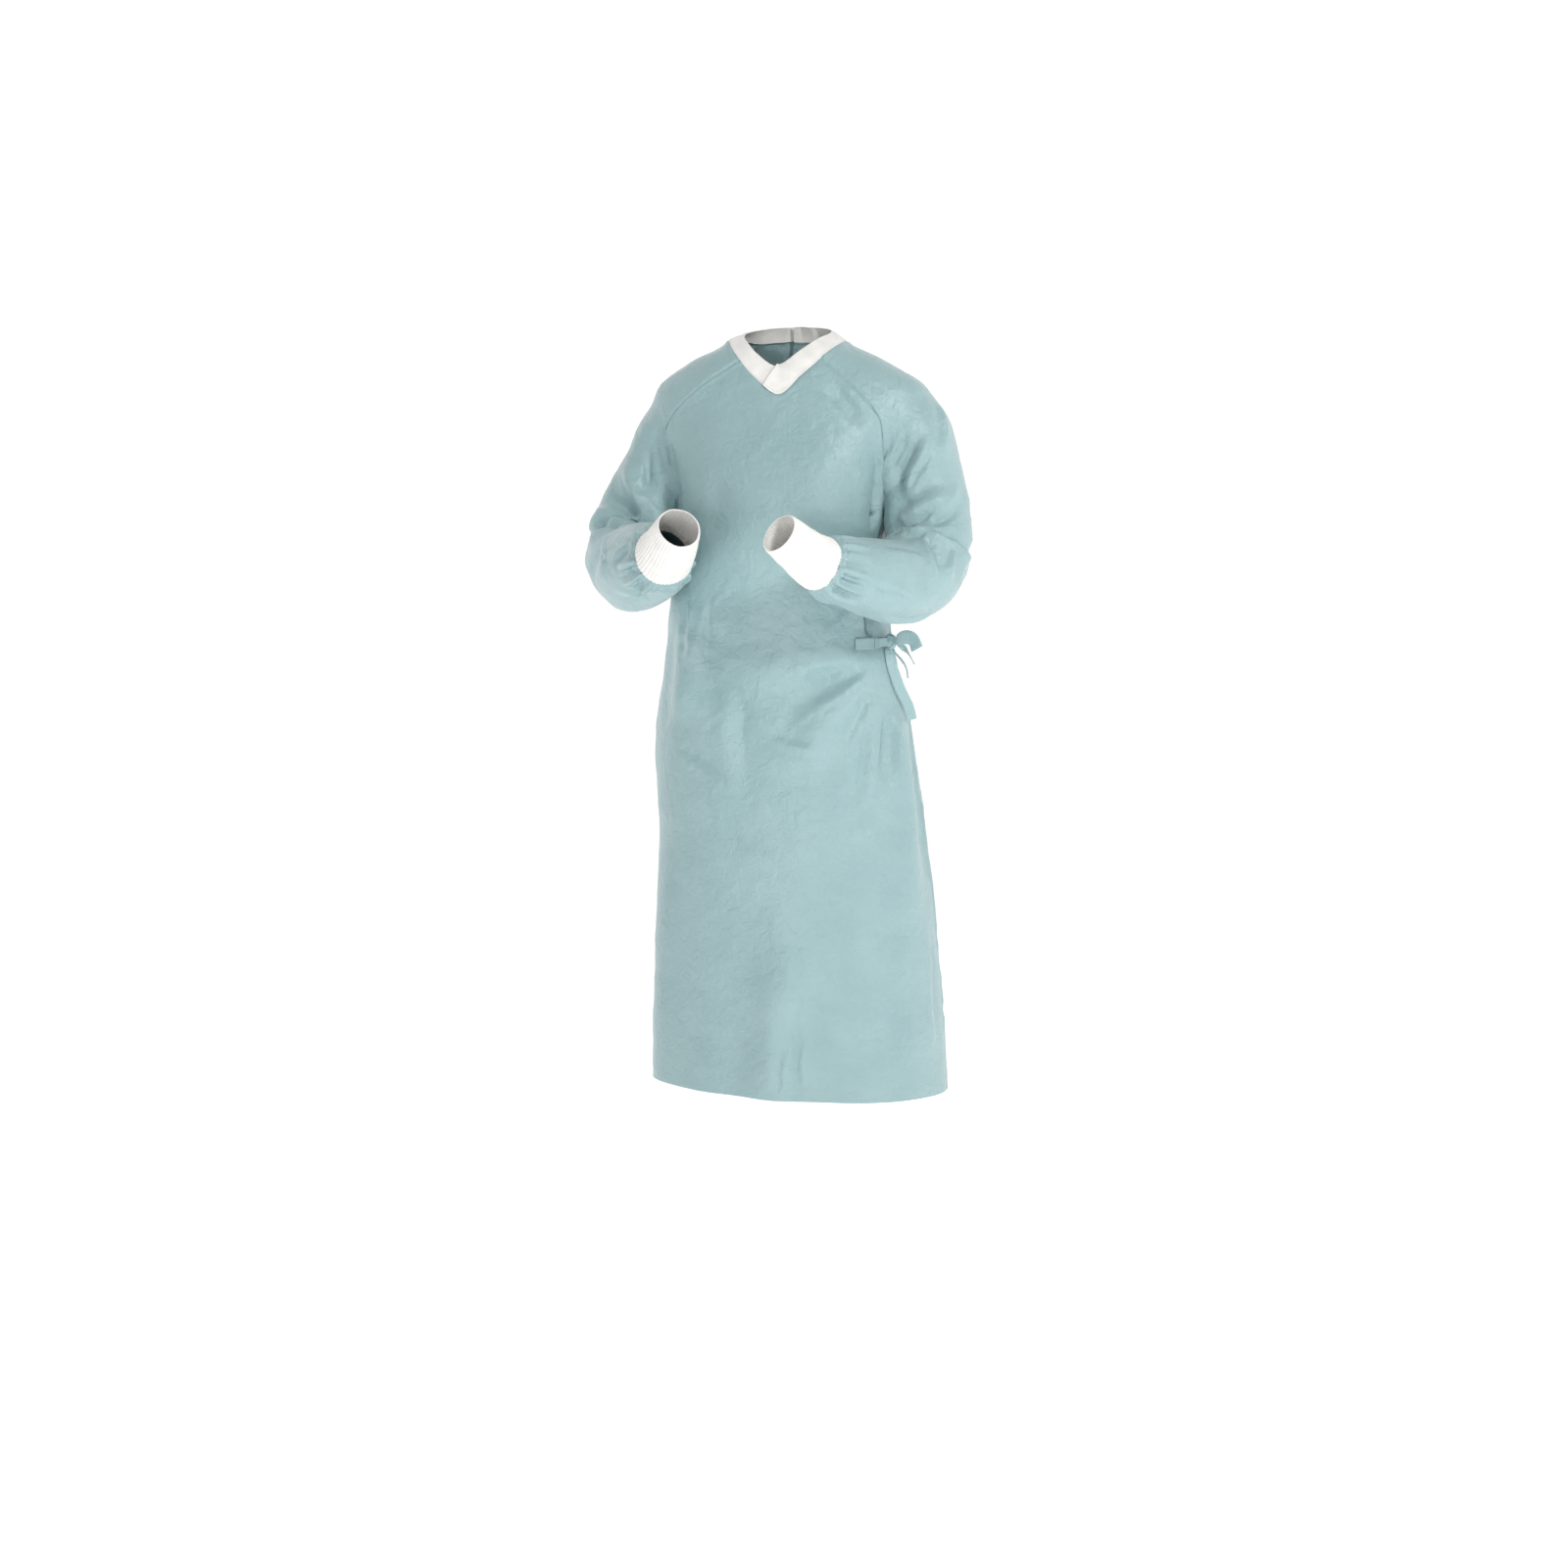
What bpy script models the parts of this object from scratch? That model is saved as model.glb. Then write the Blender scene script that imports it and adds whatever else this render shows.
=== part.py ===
"""A wrap-around surgical gown as it is worn, hollow, with no wearer in it.

Metres, +Z up. The front of the gown faces -Y and the wearer's left is +X. The origin is
between the shoulders at the base of the neck, where the wearer carries the gown.

Each panel is a grid of points on one smooth outer form, which joins a torso of oval rings
to two bent sleeves. Neighbouring panels share the points of their seam, and each panel
stops half a seam gap short of it. The inside of the wall lies one cloth thickness inwards.
"""

import math

import bmesh
import bpy
import numpy as np

CLOTH = 0.002
SEAM_GAP = 0.0003
HEM_Z = -1.136
HEM_TILT = 0.030  # how far the hem drops for each metre towards the wearer's left
UNDERARM_Z = -0.262
WAIST_Z = -0.459

LEFT = 1.0
RIGHT = -1.0

# Rows and columns of the panels' grids.
SKIRT_ROWS = 24
YOKE_ROWS = 7
FRONT_COLUMNS = 20
BACK_COLUMNS = 16
SLEEVE_COLUMNS = 30
SLEEVE_ROWS = 16
CUFF_ROWS = 3
CUFF_COLUMNS = 20
COLLAR_COLUMNS = 16  # behind the raglan seams
COLLAR_ROWS = 2

# The torso's oval rings: height, centre across, half width, depth to the front and to the
# back of the middle, and squareness, where 2 is an ellipse.
TORSO = (
    # z, centre_x, half_width, front, back, squareness
    (-1.180, 0.021, 0.226, 0.172, 0.176, 2.15),
    (-0.980, 0.017, 0.219, 0.163, 0.168, 2.15),
    (-0.740, 0.008, 0.205, 0.150, 0.152, 2.20),
    (-0.590, -0.003, 0.194, 0.140, 0.138, 2.20),
    (-0.468, -0.012, 0.173, 0.129, 0.118, 2.25),
    (-0.350, -0.010, 0.161, 0.127, 0.114, 2.30),
    (-0.262, -0.004, 0.159, 0.128, 0.121, 2.30),
    (-0.170, -0.002, 0.176, 0.113, 0.128, 2.30),
    (-0.110, 0.000, 0.199, 0.090, 0.123, 2.20),
    (-0.072, 0.000, 0.193, 0.076, 0.110, 2.10),
    (-0.042, 0.000, 0.152, 0.066, 0.096, 2.05),
    (-0.012, 0.000, 0.096, 0.057, 0.083, 2.00),
    (0.030, 0.000, 0.070, 0.050, 0.074, 2.00),
)

# The sleeves' middle lines, from inside the shoulder over the end of the cloth to the end
# of the knit cuff: place, with x outwards from the middle, and radius.
SLEEVE_LEFT = (
    # x, y, z, radius
    (0.120, 0.012, -0.114, 0.056),
    (0.174, 0.012, -0.138, 0.067),
    (0.205, 0.006, -0.208, 0.064),
    (0.221, -0.006, -0.276, 0.063),
    (0.224, -0.034, -0.330, 0.067),
    (0.204, -0.096, -0.362, 0.062),
    (0.164, -0.168, -0.354, 0.056),
    (0.114, -0.243, -0.333, 0.041),
    (0.070, -0.306, -0.288, 0.031),
)
SLEEVE_RIGHT = (
    # x, y, z, radius
    (0.120, 0.014, -0.120, 0.056),
    (0.170, 0.016, -0.146, 0.062),
    (0.199, 0.010, -0.204, 0.062),
    (0.228, -0.002, -0.262, 0.064),
    (0.238, -0.034, -0.322, 0.067),
    (0.212, -0.098, -0.346, 0.064),
    (0.168, -0.170, -0.338, 0.060),
    (0.122, -0.240, -0.325, 0.045),
    (0.080, -0.303, -0.282, 0.033),
)
SLEEVES = {LEFT: SLEEVE_LEFT, RIGHT: SLEEVE_RIGHT}
ARMHOLE_ROW = 2  # the row of the sleeve's table from which its rings are whole
CLOTH_END_ROW = 7
LINE_STEPS = 80
SHOULDER_BLEND = 0.045
UNDERARM_BLEND = 0.010
ARM_CLEARANCE = 0.005

# The neck seam, where the collar band is sewn on, and the band's free edge, by the angle
# round the neck from the middle of the front towards the wearer's left. The neck opening
# sits a little off the middle, so the two sides differ.
NECK_SEAM = (
    # angle, x, y, z
    (-180, 0.0040, 0.086, -0.006),
    (-130, -0.0610, 0.062, -0.010),
    (-90, -0.0790, 0.000, -0.020),
    (-50, -0.0560, -0.048, -0.042),
    (-25, -0.0310, -0.068, -0.064),
    (0, 0.0080, -0.078, -0.090),
    (25, 0.0400, -0.068, -0.061),
    (50, 0.0650, -0.048, -0.039),
    (90, 0.0850, 0.000, -0.018),
    (130, 0.0640, 0.062, -0.010),
    (180, 0.0040, 0.086, -0.006),
)
NECK_EDGE = (
    # angle, x, y, z
    (-180, 0.0020, 0.076, 0.016),
    (-130, -0.0490, 0.054, 0.012),
    (-90, -0.0650, 0.006, 0.004),
    (-50, -0.0520, -0.036, -0.010),
    (-25, -0.0300, -0.053, -0.029),
    (0, 0.0015, -0.060, -0.045),
    (25, 0.0330, -0.053, -0.024),
    (50, 0.0545, -0.036, -0.007),
    (90, 0.0660, 0.006, 0.004),
    (130, 0.0500, 0.054, 0.012),
    (180, 0.0020, 0.076, 0.016),
)
FRONT_RAGLAN_ANGLE = 50
BACK_RAGLAN_ANGLE = 124
# Where the raglan seams run between the neck and the underarm, x outwards.
RAGLAN_MARKS = {
    # (side, at_front): places
    (LEFT, True): ((0.112, -0.068, -0.070), (0.161, -0.072, -0.124), (0.162, -0.048, -0.186)),
    (RIGHT, True): ((-0.120, -0.068, -0.076), (-0.176, -0.066, -0.130), (-0.171, -0.046, -0.190)),
    (LEFT, False): ((0.108, 0.096, -0.052), (0.158, 0.086, -0.120), (0.163, 0.060, -0.190)),
    (RIGHT, False): ((-0.108, 0.096, -0.052), (-0.160, 0.086, -0.120), (-0.168, 0.062, -0.190)),
}
SIDE_SEAM_ANGLE = 95

# The free edges of the back's two laps, as angles round the torso from the front's middle.
INNER_LAP = (
    # z, angle
    (-1.180, 222),
    (-0.459, 222),
    (-0.262, 204),
)
OUTER_LAP = (
    # z, angle
    (-1.180, 130),
    (-0.800, 126),
    (-0.459, 118),
    (-0.350, 130),
    (-0.262, 148),
)
INNER_LAP_NECK = 190
OUTER_LAP_NECK = 164
LAP_LIFT = 0.0045
LAP_LIFT_HEM = 0.004
LAP_SINK = 0.003
LAP_RAMP = 0.15  # the share of a lap's width over which it lifts or sinks
STRAP_LAP_CLIMB = (9, 4)  # the angles before the outer lap where straps start and end to rise
STRAP_LAP_LIFT = 0.006

# The largest folds of the body: from and to, as an angle and a height, how wide, and how
# far out they stand, or in for a negative one.
BODY_FOLDS = (
    # from_angle, from_z, to_angle, to_z, width, height
    (75, -0.280, 72, -0.462, 0.015, -0.013),
    (63, -0.300, 62, -0.450, 0.022, 0.004),
    (68, -0.490, 12, -0.660, 0.028, 0.009),
    (60, -0.478, 8, -0.560, 0.026, -0.007),
    (74, -0.520, 45, -0.780, 0.030, -0.008),
    (82, -0.520, 70, -0.900, 0.026, 0.009),
    (90, -0.540, 88, -0.860, 0.024, -0.008),
    (-50, -0.430, -48, -0.590, 0.030, 0.009),
    (-66, -0.400, -66, -0.620, 0.028, -0.007),
    (-30, -0.420, -26, -0.560, 0.032, -0.006),
    (6, -0.900, 2, -1.170, 0.036, 0.008),
    (14, -0.980, 16, -1.170, 0.030, -0.007),
    (-34, -0.190, -28, -0.330, 0.028, -0.006),
    (48, -0.130, 30, -0.320, 0.036, 0.005),
    (-62, -0.740, -60, -1.170, 0.045, 0.006),
    (55, -0.900, 60, -1.170, 0.050, 0.006),
    (112, -0.440, 160, -0.680, 0.040, 0.008),
    (116, -0.490, 140, -0.900, 0.040, -0.008),
    (150, -0.340, 212, -0.520, 0.042, 0.007),
    (170, -0.460, 232, -0.560, 0.040, -0.007),
    (196, -0.600, 190, -1.170, 0.048, 0.009),
    (230, -0.560, 236, -1.170, 0.048, -0.008),
    (158, -0.760, 156, -1.170, 0.042, -0.007),
    (176, -0.080, 176, -0.300, 0.044, -0.006),
)

# The slight wave of the lower edge, and the heights between which it grows from nothing.
HEM_WAVES = (
    # waves round the hem, height, start
    (5, 0.004, 0.6),
    (9, 0.003, 0.0),
)
HEM_WAVE_FADE = (-0.75, -1.15)

# The largest folds of each sleeve: from and to, as a share of the way from the armhole to
# the cuff, and a turn round the sleeve, from the side of the body over the front.
LEFT_FOLDS = (
    # from_share, from_turn, to_share, to_turn, width, height
    (-0.16, 0.34, 0.14, 0.16, 0.016, -0.009),
    (-0.14, 0.44, 0.16, 0.22, 0.016, 0.006),
    (0.04, 0.36, 0.20, 0.15, 0.014, -0.009),
    (0.10, 0.42, 0.26, 0.16, 0.015, 0.009),
    (0.24, 0.44, 0.30, 0.10, 0.015, -0.012),
    (0.36, 0.42, 0.38, 0.16, 0.016, 0.008),
    (0.32, 0.38, 0.46, 0.58, 0.016, -0.008),
    (0.20, 0.64, 0.44, 0.56, 0.020, -0.006),
    (0.10, 0.84, 0.36, 0.68, 0.022, 0.007),
    (0.54, 0.62, 0.78, 0.52, 0.024, 0.005),
)
RIGHT_FOLDS = (
    # from_share, from_turn, to_share, to_turn, width, height
    (-0.10, 0.38, 0.16, 0.20, 0.018, -0.010),
    (0.02, 0.42, 0.24, 0.18, 0.016, 0.008),
    (0.16, 0.46, 0.30, 0.16, 0.015, -0.011),
    (0.28, 0.48, 0.34, 0.14, 0.015, 0.010),
    (0.36, 0.46, 0.38, 0.14, 0.015, -0.012),
    (0.44, 0.48, 0.50, 0.22, 0.016, 0.009),
    (0.50, 0.58, 0.66, 0.40, 0.018, -0.007),
    (0.20, 0.64, 0.44, 0.56, 0.020, -0.006),
    (0.10, 0.84, 0.36, 0.68, 0.022, 0.007),
)
SLEEVE_FOLDS = {LEFT: LEFT_FOLDS, RIGHT: RIGHT_FOLDS}
FOLD_STATIONS = 9
GATHERS = 10
GATHER_HEIGHT = 0.0045
GATHER_LENGTH = 0.16  # as a share of the sleeve

# The collar's left half laps over its right half, from this angle of the neck seam.
COLLAR_LAP_ANGLE = 15
COLLAR_BULGE = 0.002

# A closing tab over the laps' edge at the back of the neck, as angles round the neck.
NECK_TAB_ANGLES = (182, 148)
NECK_TAB_WIDTH = 0.024
NECK_TAB_SHARE = 0.12  # how far down the yoke it lies
NECK_TAB_DROP = (0.0, 0.006, -0.022)  # from the neck seam
NECK_TAB_LIFT = 0.0010
STRAP_STATIONS = 9

# The waist tie: a tab stitched to the front, two straps, and a bow at the left side.
TIE_THICKNESS = 0.0016
TIE_LIFT = 0.0016  # under the tab and the straps, clear of the panels' flat facets
TIE_WIDTH = 0.017
TIE_PINCHED = 0.011  # the straps' width where they go into the knot
TAB_ANGLES = (59, 71)
FRONT_STRAP_ANGLES = (71.4, 75.5)
BACK_STRAP_ANGLES = (124, 86)
KNOT_CENTRE = (0.1690, -0.030, -0.457)
KNOT_SIZE = (0.016, 0.020, 0.022)
KNOT_EDGE = 0.004
KNOT_TILT = 14  # degrees, so that it sits square on the body's side
KNOT_GAP = 0.0006
STRAP_RUN_IN = 0.0036  # the last stretch of a strap, straight into the knot
# The bow's straps, from the knot outwards. Places are from the knot's centre, turned as
# the knot is.
BOW = {
    # name: (width, rows of x, y, z, across_x, across_y, across_z)
    "tie_loop_side": (0.016, (
        (0.0091, 0.0000, 0.002, 0.0, 0.0, 1.0),
        (0.0130, 0.0000, 0.002, 0.0, 0.0, 1.0),
        (0.0250, 0.0020, 0.007, 0.1, -0.4, 0.9),
        (0.0370, 0.0020, 0.003, 0.2, -0.6, 0.8),
        (0.0450, -0.0010, -0.010, 0.3, -0.7, 0.6),
    )),
    "tie_loop_down": (0.016, (
        (-0.0030, -0.0020, -0.0120, 0.2, 1.0, 0.0),
        (-0.0030, -0.0020, -0.0160, 0.5, 1.0, 0.0),
        (0.0060, -0.0040, -0.040, 0.8, 0.6, 0.2),
        (0.0160, 0.0000, -0.070, 0.8, 0.6, 0.3),
        (0.0250, 0.0110, -0.098, 0.8, 0.6, 0.3),
        (0.0280, 0.0160, -0.118, 0.7, 0.6, 0.3),
    )),
    "tie_end_a": (0.010, (
        (0.0091, 0.0055, -0.005, 0.0, 0.3, 1.0),
        (0.0130, 0.0055, -0.005, 0.0, 0.3, 1.0),
        (0.0230, 0.0130, -0.018, 0.3, -0.8, 0.4),
        (0.0330, 0.0150, -0.034, 0.3, -0.9, 0.2),
    )),
    "tie_end_b": (0.009, (
        (0.0040, 0.0050, -0.0120, 0.8, -0.6, 0.0),
        (0.0040, 0.0050, -0.0160, 0.8, -0.6, 0.0),
        (0.0160, 0.0170, -0.036, 0.5, -0.8, 0.2),
        (0.0200, 0.0190, -0.056, 0.5, -0.8, 0.1),
    )),
}
BOW_START = 0.55  # the width where a strap leaves the knot, as a share of its own
BOW_CLEARANCE = 0.0045

COLOURS = {
    # name: red, green, blue, roughness
    "gown_cloth": (0.44, 0.60, 0.62, 0.62),
    "knit": (0.86, 0.86, 0.83, 0.85),
    "tie_cloth": (0.47, 0.63, 0.66, 0.60),
}


def through(table, at):
    """The table's other columns at these values of its first, on a smooth curve."""
    rows = np.array(table, float)
    x, y = rows[:, 0], rows[:, 1:]
    at = np.clip(np.asarray(at, float), x[0], x[-1])
    slope = np.gradient(y, x, axis=0)
    i = np.clip(np.searchsorted(x, at, side="right") - 1, 0, len(x) - 2)
    step = (x[i + 1] - x[i])[..., None]
    t = (at - x[i])[..., None] / step
    start = (1 + 2 * t) * (1 - t) ** 2 * y[i] + t * (1 - t) ** 2 * step * slope[i]
    end = t * t * (3 - 2 * t) * y[i + 1] + t * t * (t - 1) * step * slope[i + 1]
    return start + end


def numbered(rows):
    """The rows with their number as a first column, for a curve through them."""
    rows = np.array(rows, float)
    return np.column_stack([np.arange(len(rows)), rows])


def ease(t):
    t = np.clip(t, 0, 1)
    return t * t * (3 - 2 * t)


def unit(vectors):
    length = np.linalg.norm(vectors, axis=-1, keepdims=True)
    return vectors / np.maximum(length, 1e-12)


def torso_point(angle, z):
    """The point of the torso's ring at this angle, in degrees from the front's middle."""
    angle, z = np.broadcast_arrays(np.radians(angle), z)
    centre, width, front, back, square = np.moveaxis(through(TORSO, z), -1, 0)
    across, along = np.sin(angle), -np.cos(angle)
    depth = np.where(along < 0, front, back)
    power = np.abs(across / width) ** square + np.abs(along / depth) ** square
    reach = power ** (-1 / square)
    return np.stack([centre + reach * across, reach * along, z], axis=-1)


def torso_distance(points):
    centre, width, front, back, square = np.moveaxis(through(TORSO, points[..., 2]), -1, 0)
    x, y = points[..., 0] - centre, points[..., 1]
    depth = np.where(y < 0, front, back)
    share = (np.abs(x / width) ** square + np.abs(y / depth) ** square) ** (1 / square)
    return np.hypot(x, y) * (1 - 1 / np.maximum(share, 1e-6))


def sleeve_line(side):
    """Along a sleeve's middle at even steps: points, radii, shares of the way from the
    armhole to the end of the cloth, and the directions to the body and to the front."""
    table = np.array(SLEEVES[side], float) * (side, 1, 1, 1)
    knots = np.linspace(0, len(table) - 1, 12 * len(table))
    line = evenly(through(numbered(table), knots), LINE_STEPS)
    points, radii = line[:, :3], line[:, 3]
    walked = np.linalg.norm(np.diff(points, axis=0), axis=1).cumsum()
    walked = np.concatenate([[0], walked])
    start, end = (
        walked[np.argmin(np.linalg.norm(points - table[row, :3], axis=1))]
        for row in (ARMHOLE_ROW, CLOTH_END_ROW)
    )
    tangents = unit(np.gradient(points, axis=0))
    inwards = underarm(side) - table[ARMHOLE_ROW, :3]
    sides = []
    for tangent in tangents:
        inwards = unit(inwards - (inwards @ tangent) * tangent)
        sides.append(inwards)
    sides = np.array(sides)
    fronts = np.cross(sides, tangents) * side
    return points, radii, (walked - start) / (end - start), sides, fronts


def evenly(points, count):
    """The polyline through points, as count points at even steps."""
    walked = np.linalg.norm(np.diff(points[:, :3], axis=0), axis=1).cumsum()
    walked = np.concatenate([[0], walked])
    even = np.linspace(0, walked[-1], count)
    return np.column_stack([np.interp(even, walked, c) for c in points.T])


def underarm(side):
    return torso_point(side * SIDE_SEAM_ANGLE, UNDERARM_Z)


LINES = {side: sleeve_line(side) for side in (LEFT, RIGHT)}


def sleeve_distance(points, side):
    """How far a point is outside the sleeve, as the union of balls along its middle."""
    line, radius = LINES[side][:2]
    flat = points.reshape(-1, 3)
    best = np.full(len(flat), np.inf)
    for i in range(len(line) - 1):
        along = line[i + 1] - line[i]
        offset = flat - line[i]
        t = np.clip(offset @ along / (along @ along), 0, 1)
        away = np.linalg.norm(offset - t[:, None] * along, axis=1)
        best = np.minimum(best, away - radius[i] - t * (radius[i + 1] - radius[i]))
    return best.reshape(points.shape[:-1])


def yoke_form(share):
    """The distance from the torso and sleeves joined. The join is rounded, less and less
    on the way from the neck, at share 0, to the underarm, at share 1."""
    blend = SHOULDER_BLEND + (UNDERARM_BLEND - SHOULDER_BLEND) * ease(share)

    def distance(points):
        joined = torso_distance(points)
        for side in (LEFT, RIGHT):
            sleeve = sleeve_distance(points, side)
            part = np.clip(0.5 + 0.5 * (sleeve - joined) / blend, 0, 1)
            joined = sleeve * (1 - part) + joined * part - blend * part * (1 - part)
        return joined

    return distance


def slope_of(distance, points, step=2e-4):
    parts = []
    for axis in range(3):
        shift = np.zeros(3)
        shift[axis] = step
        parts.append((distance(points + shift) - distance(points - shift)) / (2 * step))
    return np.stack(parts, axis=-1)


def settle(points, distance, rounds=7):
    """Moves points straight onto the surface where distance is zero."""
    for _ in range(rounds):
        slope = slope_of(distance, points)
        size = np.maximum((slope * slope).sum(-1, keepdims=True), 0.3)
        points = points - distance(points)[..., None] * slope / size
    return points


def coons(first, last, start, end):
    """A grid between four curves: its first and last rows, and its start and end columns."""
    v = np.linspace(0, 1, len(start))[:, None, None]
    u = np.linspace(0, 1, len(first))[None, :, None]
    rows = (1 - v) * first[None] + v * last[None]
    columns = (1 - u) * start[:, None] + u * end[:, None]
    corners = (1 - v) * ((1 - u) * first[0] + u * first[-1])
    corners = corners + v * ((1 - u) * last[0] + u * last[-1])
    return rows + columns - corners


def neck_point(table, angle):
    """A point of the neck seam or of the collar's edge. Angles go on past the back."""
    angle = np.asarray(angle, float)
    return through(table, np.where(angle > 180, angle - 360, angle))


def neck_row(first_angle, last_angle, columns):
    points = neck_point(NECK_SEAM, np.linspace(first_angle, last_angle, columns + 1))
    return settle(points, yoke_form(0))


def yoke_shares():
    return np.linspace(0, 1, YOKE_ROWS + 1)


def raglan(side, at_front):
    """A raglan seam from the neck to the underarm, as points on the outer form."""
    angle = FRONT_RAGLAN_ANGLE if at_front else BACK_RAGLAN_ANGLE
    start = settle(neck_point(NECK_SEAM, side * angle), yoke_form(0))
    marks = np.vstack([start, RAGLAN_MARKS[side, at_front], underarm(side)])
    knots = np.linspace(0, len(marks) - 1, 60)
    seam = evenly(through(numbered(marks), knots), YOKE_ROWS + 1)
    seam[1:-1] = settle(seam, yoke_form(yoke_shares()))[1:-1]
    return seam


RAGLANS = {(side, front): raglan(side, front) for side in (LEFT, RIGHT) for front in (True, False)}


def sleeve_ring(side, share, turn):
    """Points round the sleeve, and the directions out of it, at shares of its length and
    turns from the side of the body over the front."""
    line, radii, shares, sides, fronts = LINES[side]
    share, angle = np.broadcast_arrays(share, 2 * np.pi * np.asarray(turn, float))

    def at(values):
        return np.stack([np.interp(share, shares, c) for c in values.T], axis=-1)

    outwards = np.cos(angle)[..., None] * at(sides) + np.sin(angle)[..., None] * at(fronts)
    outwards = unit(outwards)
    reach = np.interp(share, shares, radii)
    return at(line) + reach[..., None] * outwards, outwards


def fold_offset(points, folds, place):
    """How far the folds move each point outwards. place turns a fold's numbers to points."""
    flat = points.reshape(-1, 3)
    total = np.zeros(len(flat))
    t = np.linspace(0, 1, FOLD_STATIONS)
    for a0, b0, a1, b1, width, height in folds:
        stations = place(a0 + (a1 - a0) * t, b0 + (b1 - b0) * t)
        nearest = np.full(len(flat), np.inf)
        share = np.zeros(len(flat))
        for i in range(FOLD_STATIONS - 1):
            along = stations[i + 1] - stations[i]
            offset = flat - stations[i]
            step = np.clip(offset @ along / (along @ along), 0, 1)
            away = np.linalg.norm(offset - step[:, None] * along, axis=1)
            closer = away < nearest
            nearest = np.where(closer, away, nearest)
            share = np.where(closer, (i + step) / (FOLD_STATIONS - 1), share)
        taper = ease(3 * share) * ease(3 * (1 - share))
        total += height * taper * np.exp(-((nearest / width) ** 2))
    return total.reshape(points.shape[:-1])


def body_shift(points):
    """How far the body's folds and the slight wave of its lower edge move each point."""
    angle = np.arctan2(points[..., 0], -points[..., 1])
    top, bottom = HEM_WAVE_FADE
    fade = ease((top - points[..., 2]) / (top - bottom))
    wave = sum(height * np.sin(count * angle + start) for count, height, start in HEM_WAVES)
    return fold_offset(points, BODY_FOLDS, torso_point) + fade * wave


def skirt_heights():
    return np.linspace(HEM_Z, UNDERARM_Z, SKIRT_ROWS + 1)


def body_panel(first_side, last_side, neck, lift=0.0):
    """A body panel from hem to neck, and its outward directions. A side is the angles of
    its lower part and the points of its upper part, from the neck down. The lift says how
    far the cloth lies off the form."""
    heights = skirt_heights()[:, None]
    columns = np.linspace(0, 1, len(neck))
    angles = first_side[0][:, None] * (1 - columns) + last_side[0][:, None] * columns
    fall = HEM_TILT * ease((WAIST_Z - heights) / (WAIST_Z - HEM_Z))
    lower = torso_point(angles, heights - fall * torso_point(angles, heights)[..., 0])
    upper = coons(lower[-1], neck, first_side[1][::-1], last_side[1][::-1])
    share = yoke_shares()[::-1, None]
    form = yoke_form(share)
    inner = settle(upper, form)[1:-1, 1:-1]
    upper[1:-1, 1:-1] = inner
    common = unit(slope_of(form, upper))
    lean = share[..., None] ** 4
    upper_out = unit(common + lean * unit(slope_of(torso_distance, upper)))
    lower_out = unit(slope_of(torso_distance, lower))
    points = np.concatenate([lower, upper[1:]])
    outwards = np.concatenate([lower_out[:-1], upper_out])
    moves = np.concatenate([lower_out[:-1], common])
    return points + (body_shift(points) + lift)[..., None] * moves, outwards


def seam_side(side, at_front):
    """The side of a panel that is sewn: the side seam, then the raglan seam."""
    angle = side * SIDE_SEAM_ANGLE
    if not at_front and side == RIGHT:
        angle += 360
    return np.full(SKIRT_ROWS + 1, float(angle)), RAGLANS[side, at_front]


def lap_side(table, neck_angle):
    """The free side of a back panel."""
    angles = through(table, skirt_heights())[:, 0]
    start = neck_row(neck_angle, neck_angle, 0)[0]
    end = torso_point(angles[-1], UNDERARM_Z)
    edge = start + yoke_shares()[:, None] * (end - start)
    edge[1:-1] = settle(edge, yoke_form(yoke_shares()))[1:-1]
    return angles, edge


def lap_overlap(seam, edge, other_edge):
    """For each row of a back panel, the share of its width at which the other lap's edge
    lies. Each argument is the angles at the torso's rows, then at the neck."""
    heights = skirt_heights()
    lower = (seam[0] - through(other_edge[0], heights)[:, 0]) / (
        seam[0] - through(edge[0], heights)[:, 0]
    )
    neck = (seam[1] - other_edge[1]) / (seam[1] - edge[1])
    return np.concatenate([lower, lower[-1] + (neck - lower[-1]) * yoke_shares()[1:]])


INNER = (INNER_LAP, INNER_LAP_NECK)
OUTER = (OUTER_LAP, OUTER_LAP_NECK)


def front_panel():
    row = neck_row(-FRONT_RAGLAN_ANGLE, FRONT_RAGLAN_ANGLE, FRONT_COLUMNS)
    return body_panel(seam_side(RIGHT, True), seam_side(LEFT, True), row)


def inner_back_panel():
    """The wearer's left back, which sinks a little where the outer lap covers it."""
    meets = lap_overlap((SIDE_SEAM_ANGLE, BACK_RAGLAN_ANGLE), INNER, OUTER)[:, None]
    columns = np.linspace(0, 1, BACK_COLUMNS + 1)
    sink = -LAP_SINK * ease((columns - meets + LAP_RAMP) / LAP_RAMP)
    row = neck_row(BACK_RAGLAN_ANGLE, INNER_LAP_NECK, BACK_COLUMNS)
    return body_panel(seam_side(LEFT, False), lap_side(*INNER), row, sink * ease(columns * 8))


def outer_back_panel():
    """The wearer's right back, which wraps over the other one and lies off it."""
    seam = (360 - SIDE_SEAM_ANGLE, 360 - BACK_RAGLAN_ANGLE)
    meets = lap_overlap(seam, OUTER, INNER)[:, None]
    columns = np.linspace(0, 1, BACK_COLUMNS + 1)
    hem = ease((WAIST_Z - skirt_heights()) / (WAIST_Z - HEM_Z))
    height = LAP_LIFT + LAP_LIFT_HEM * np.concatenate([hem, np.zeros(YOKE_ROWS)])
    lift = height[:, None] * ease((columns - meets + LAP_RAMP) / LAP_RAMP)
    row = neck_row(seam[1], OUTER_LAP_NECK, BACK_COLUMNS)
    return body_panel(seam_side(RIGHT, False), lap_side(*OUTER), row, lift * ease(columns * 8))


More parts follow.
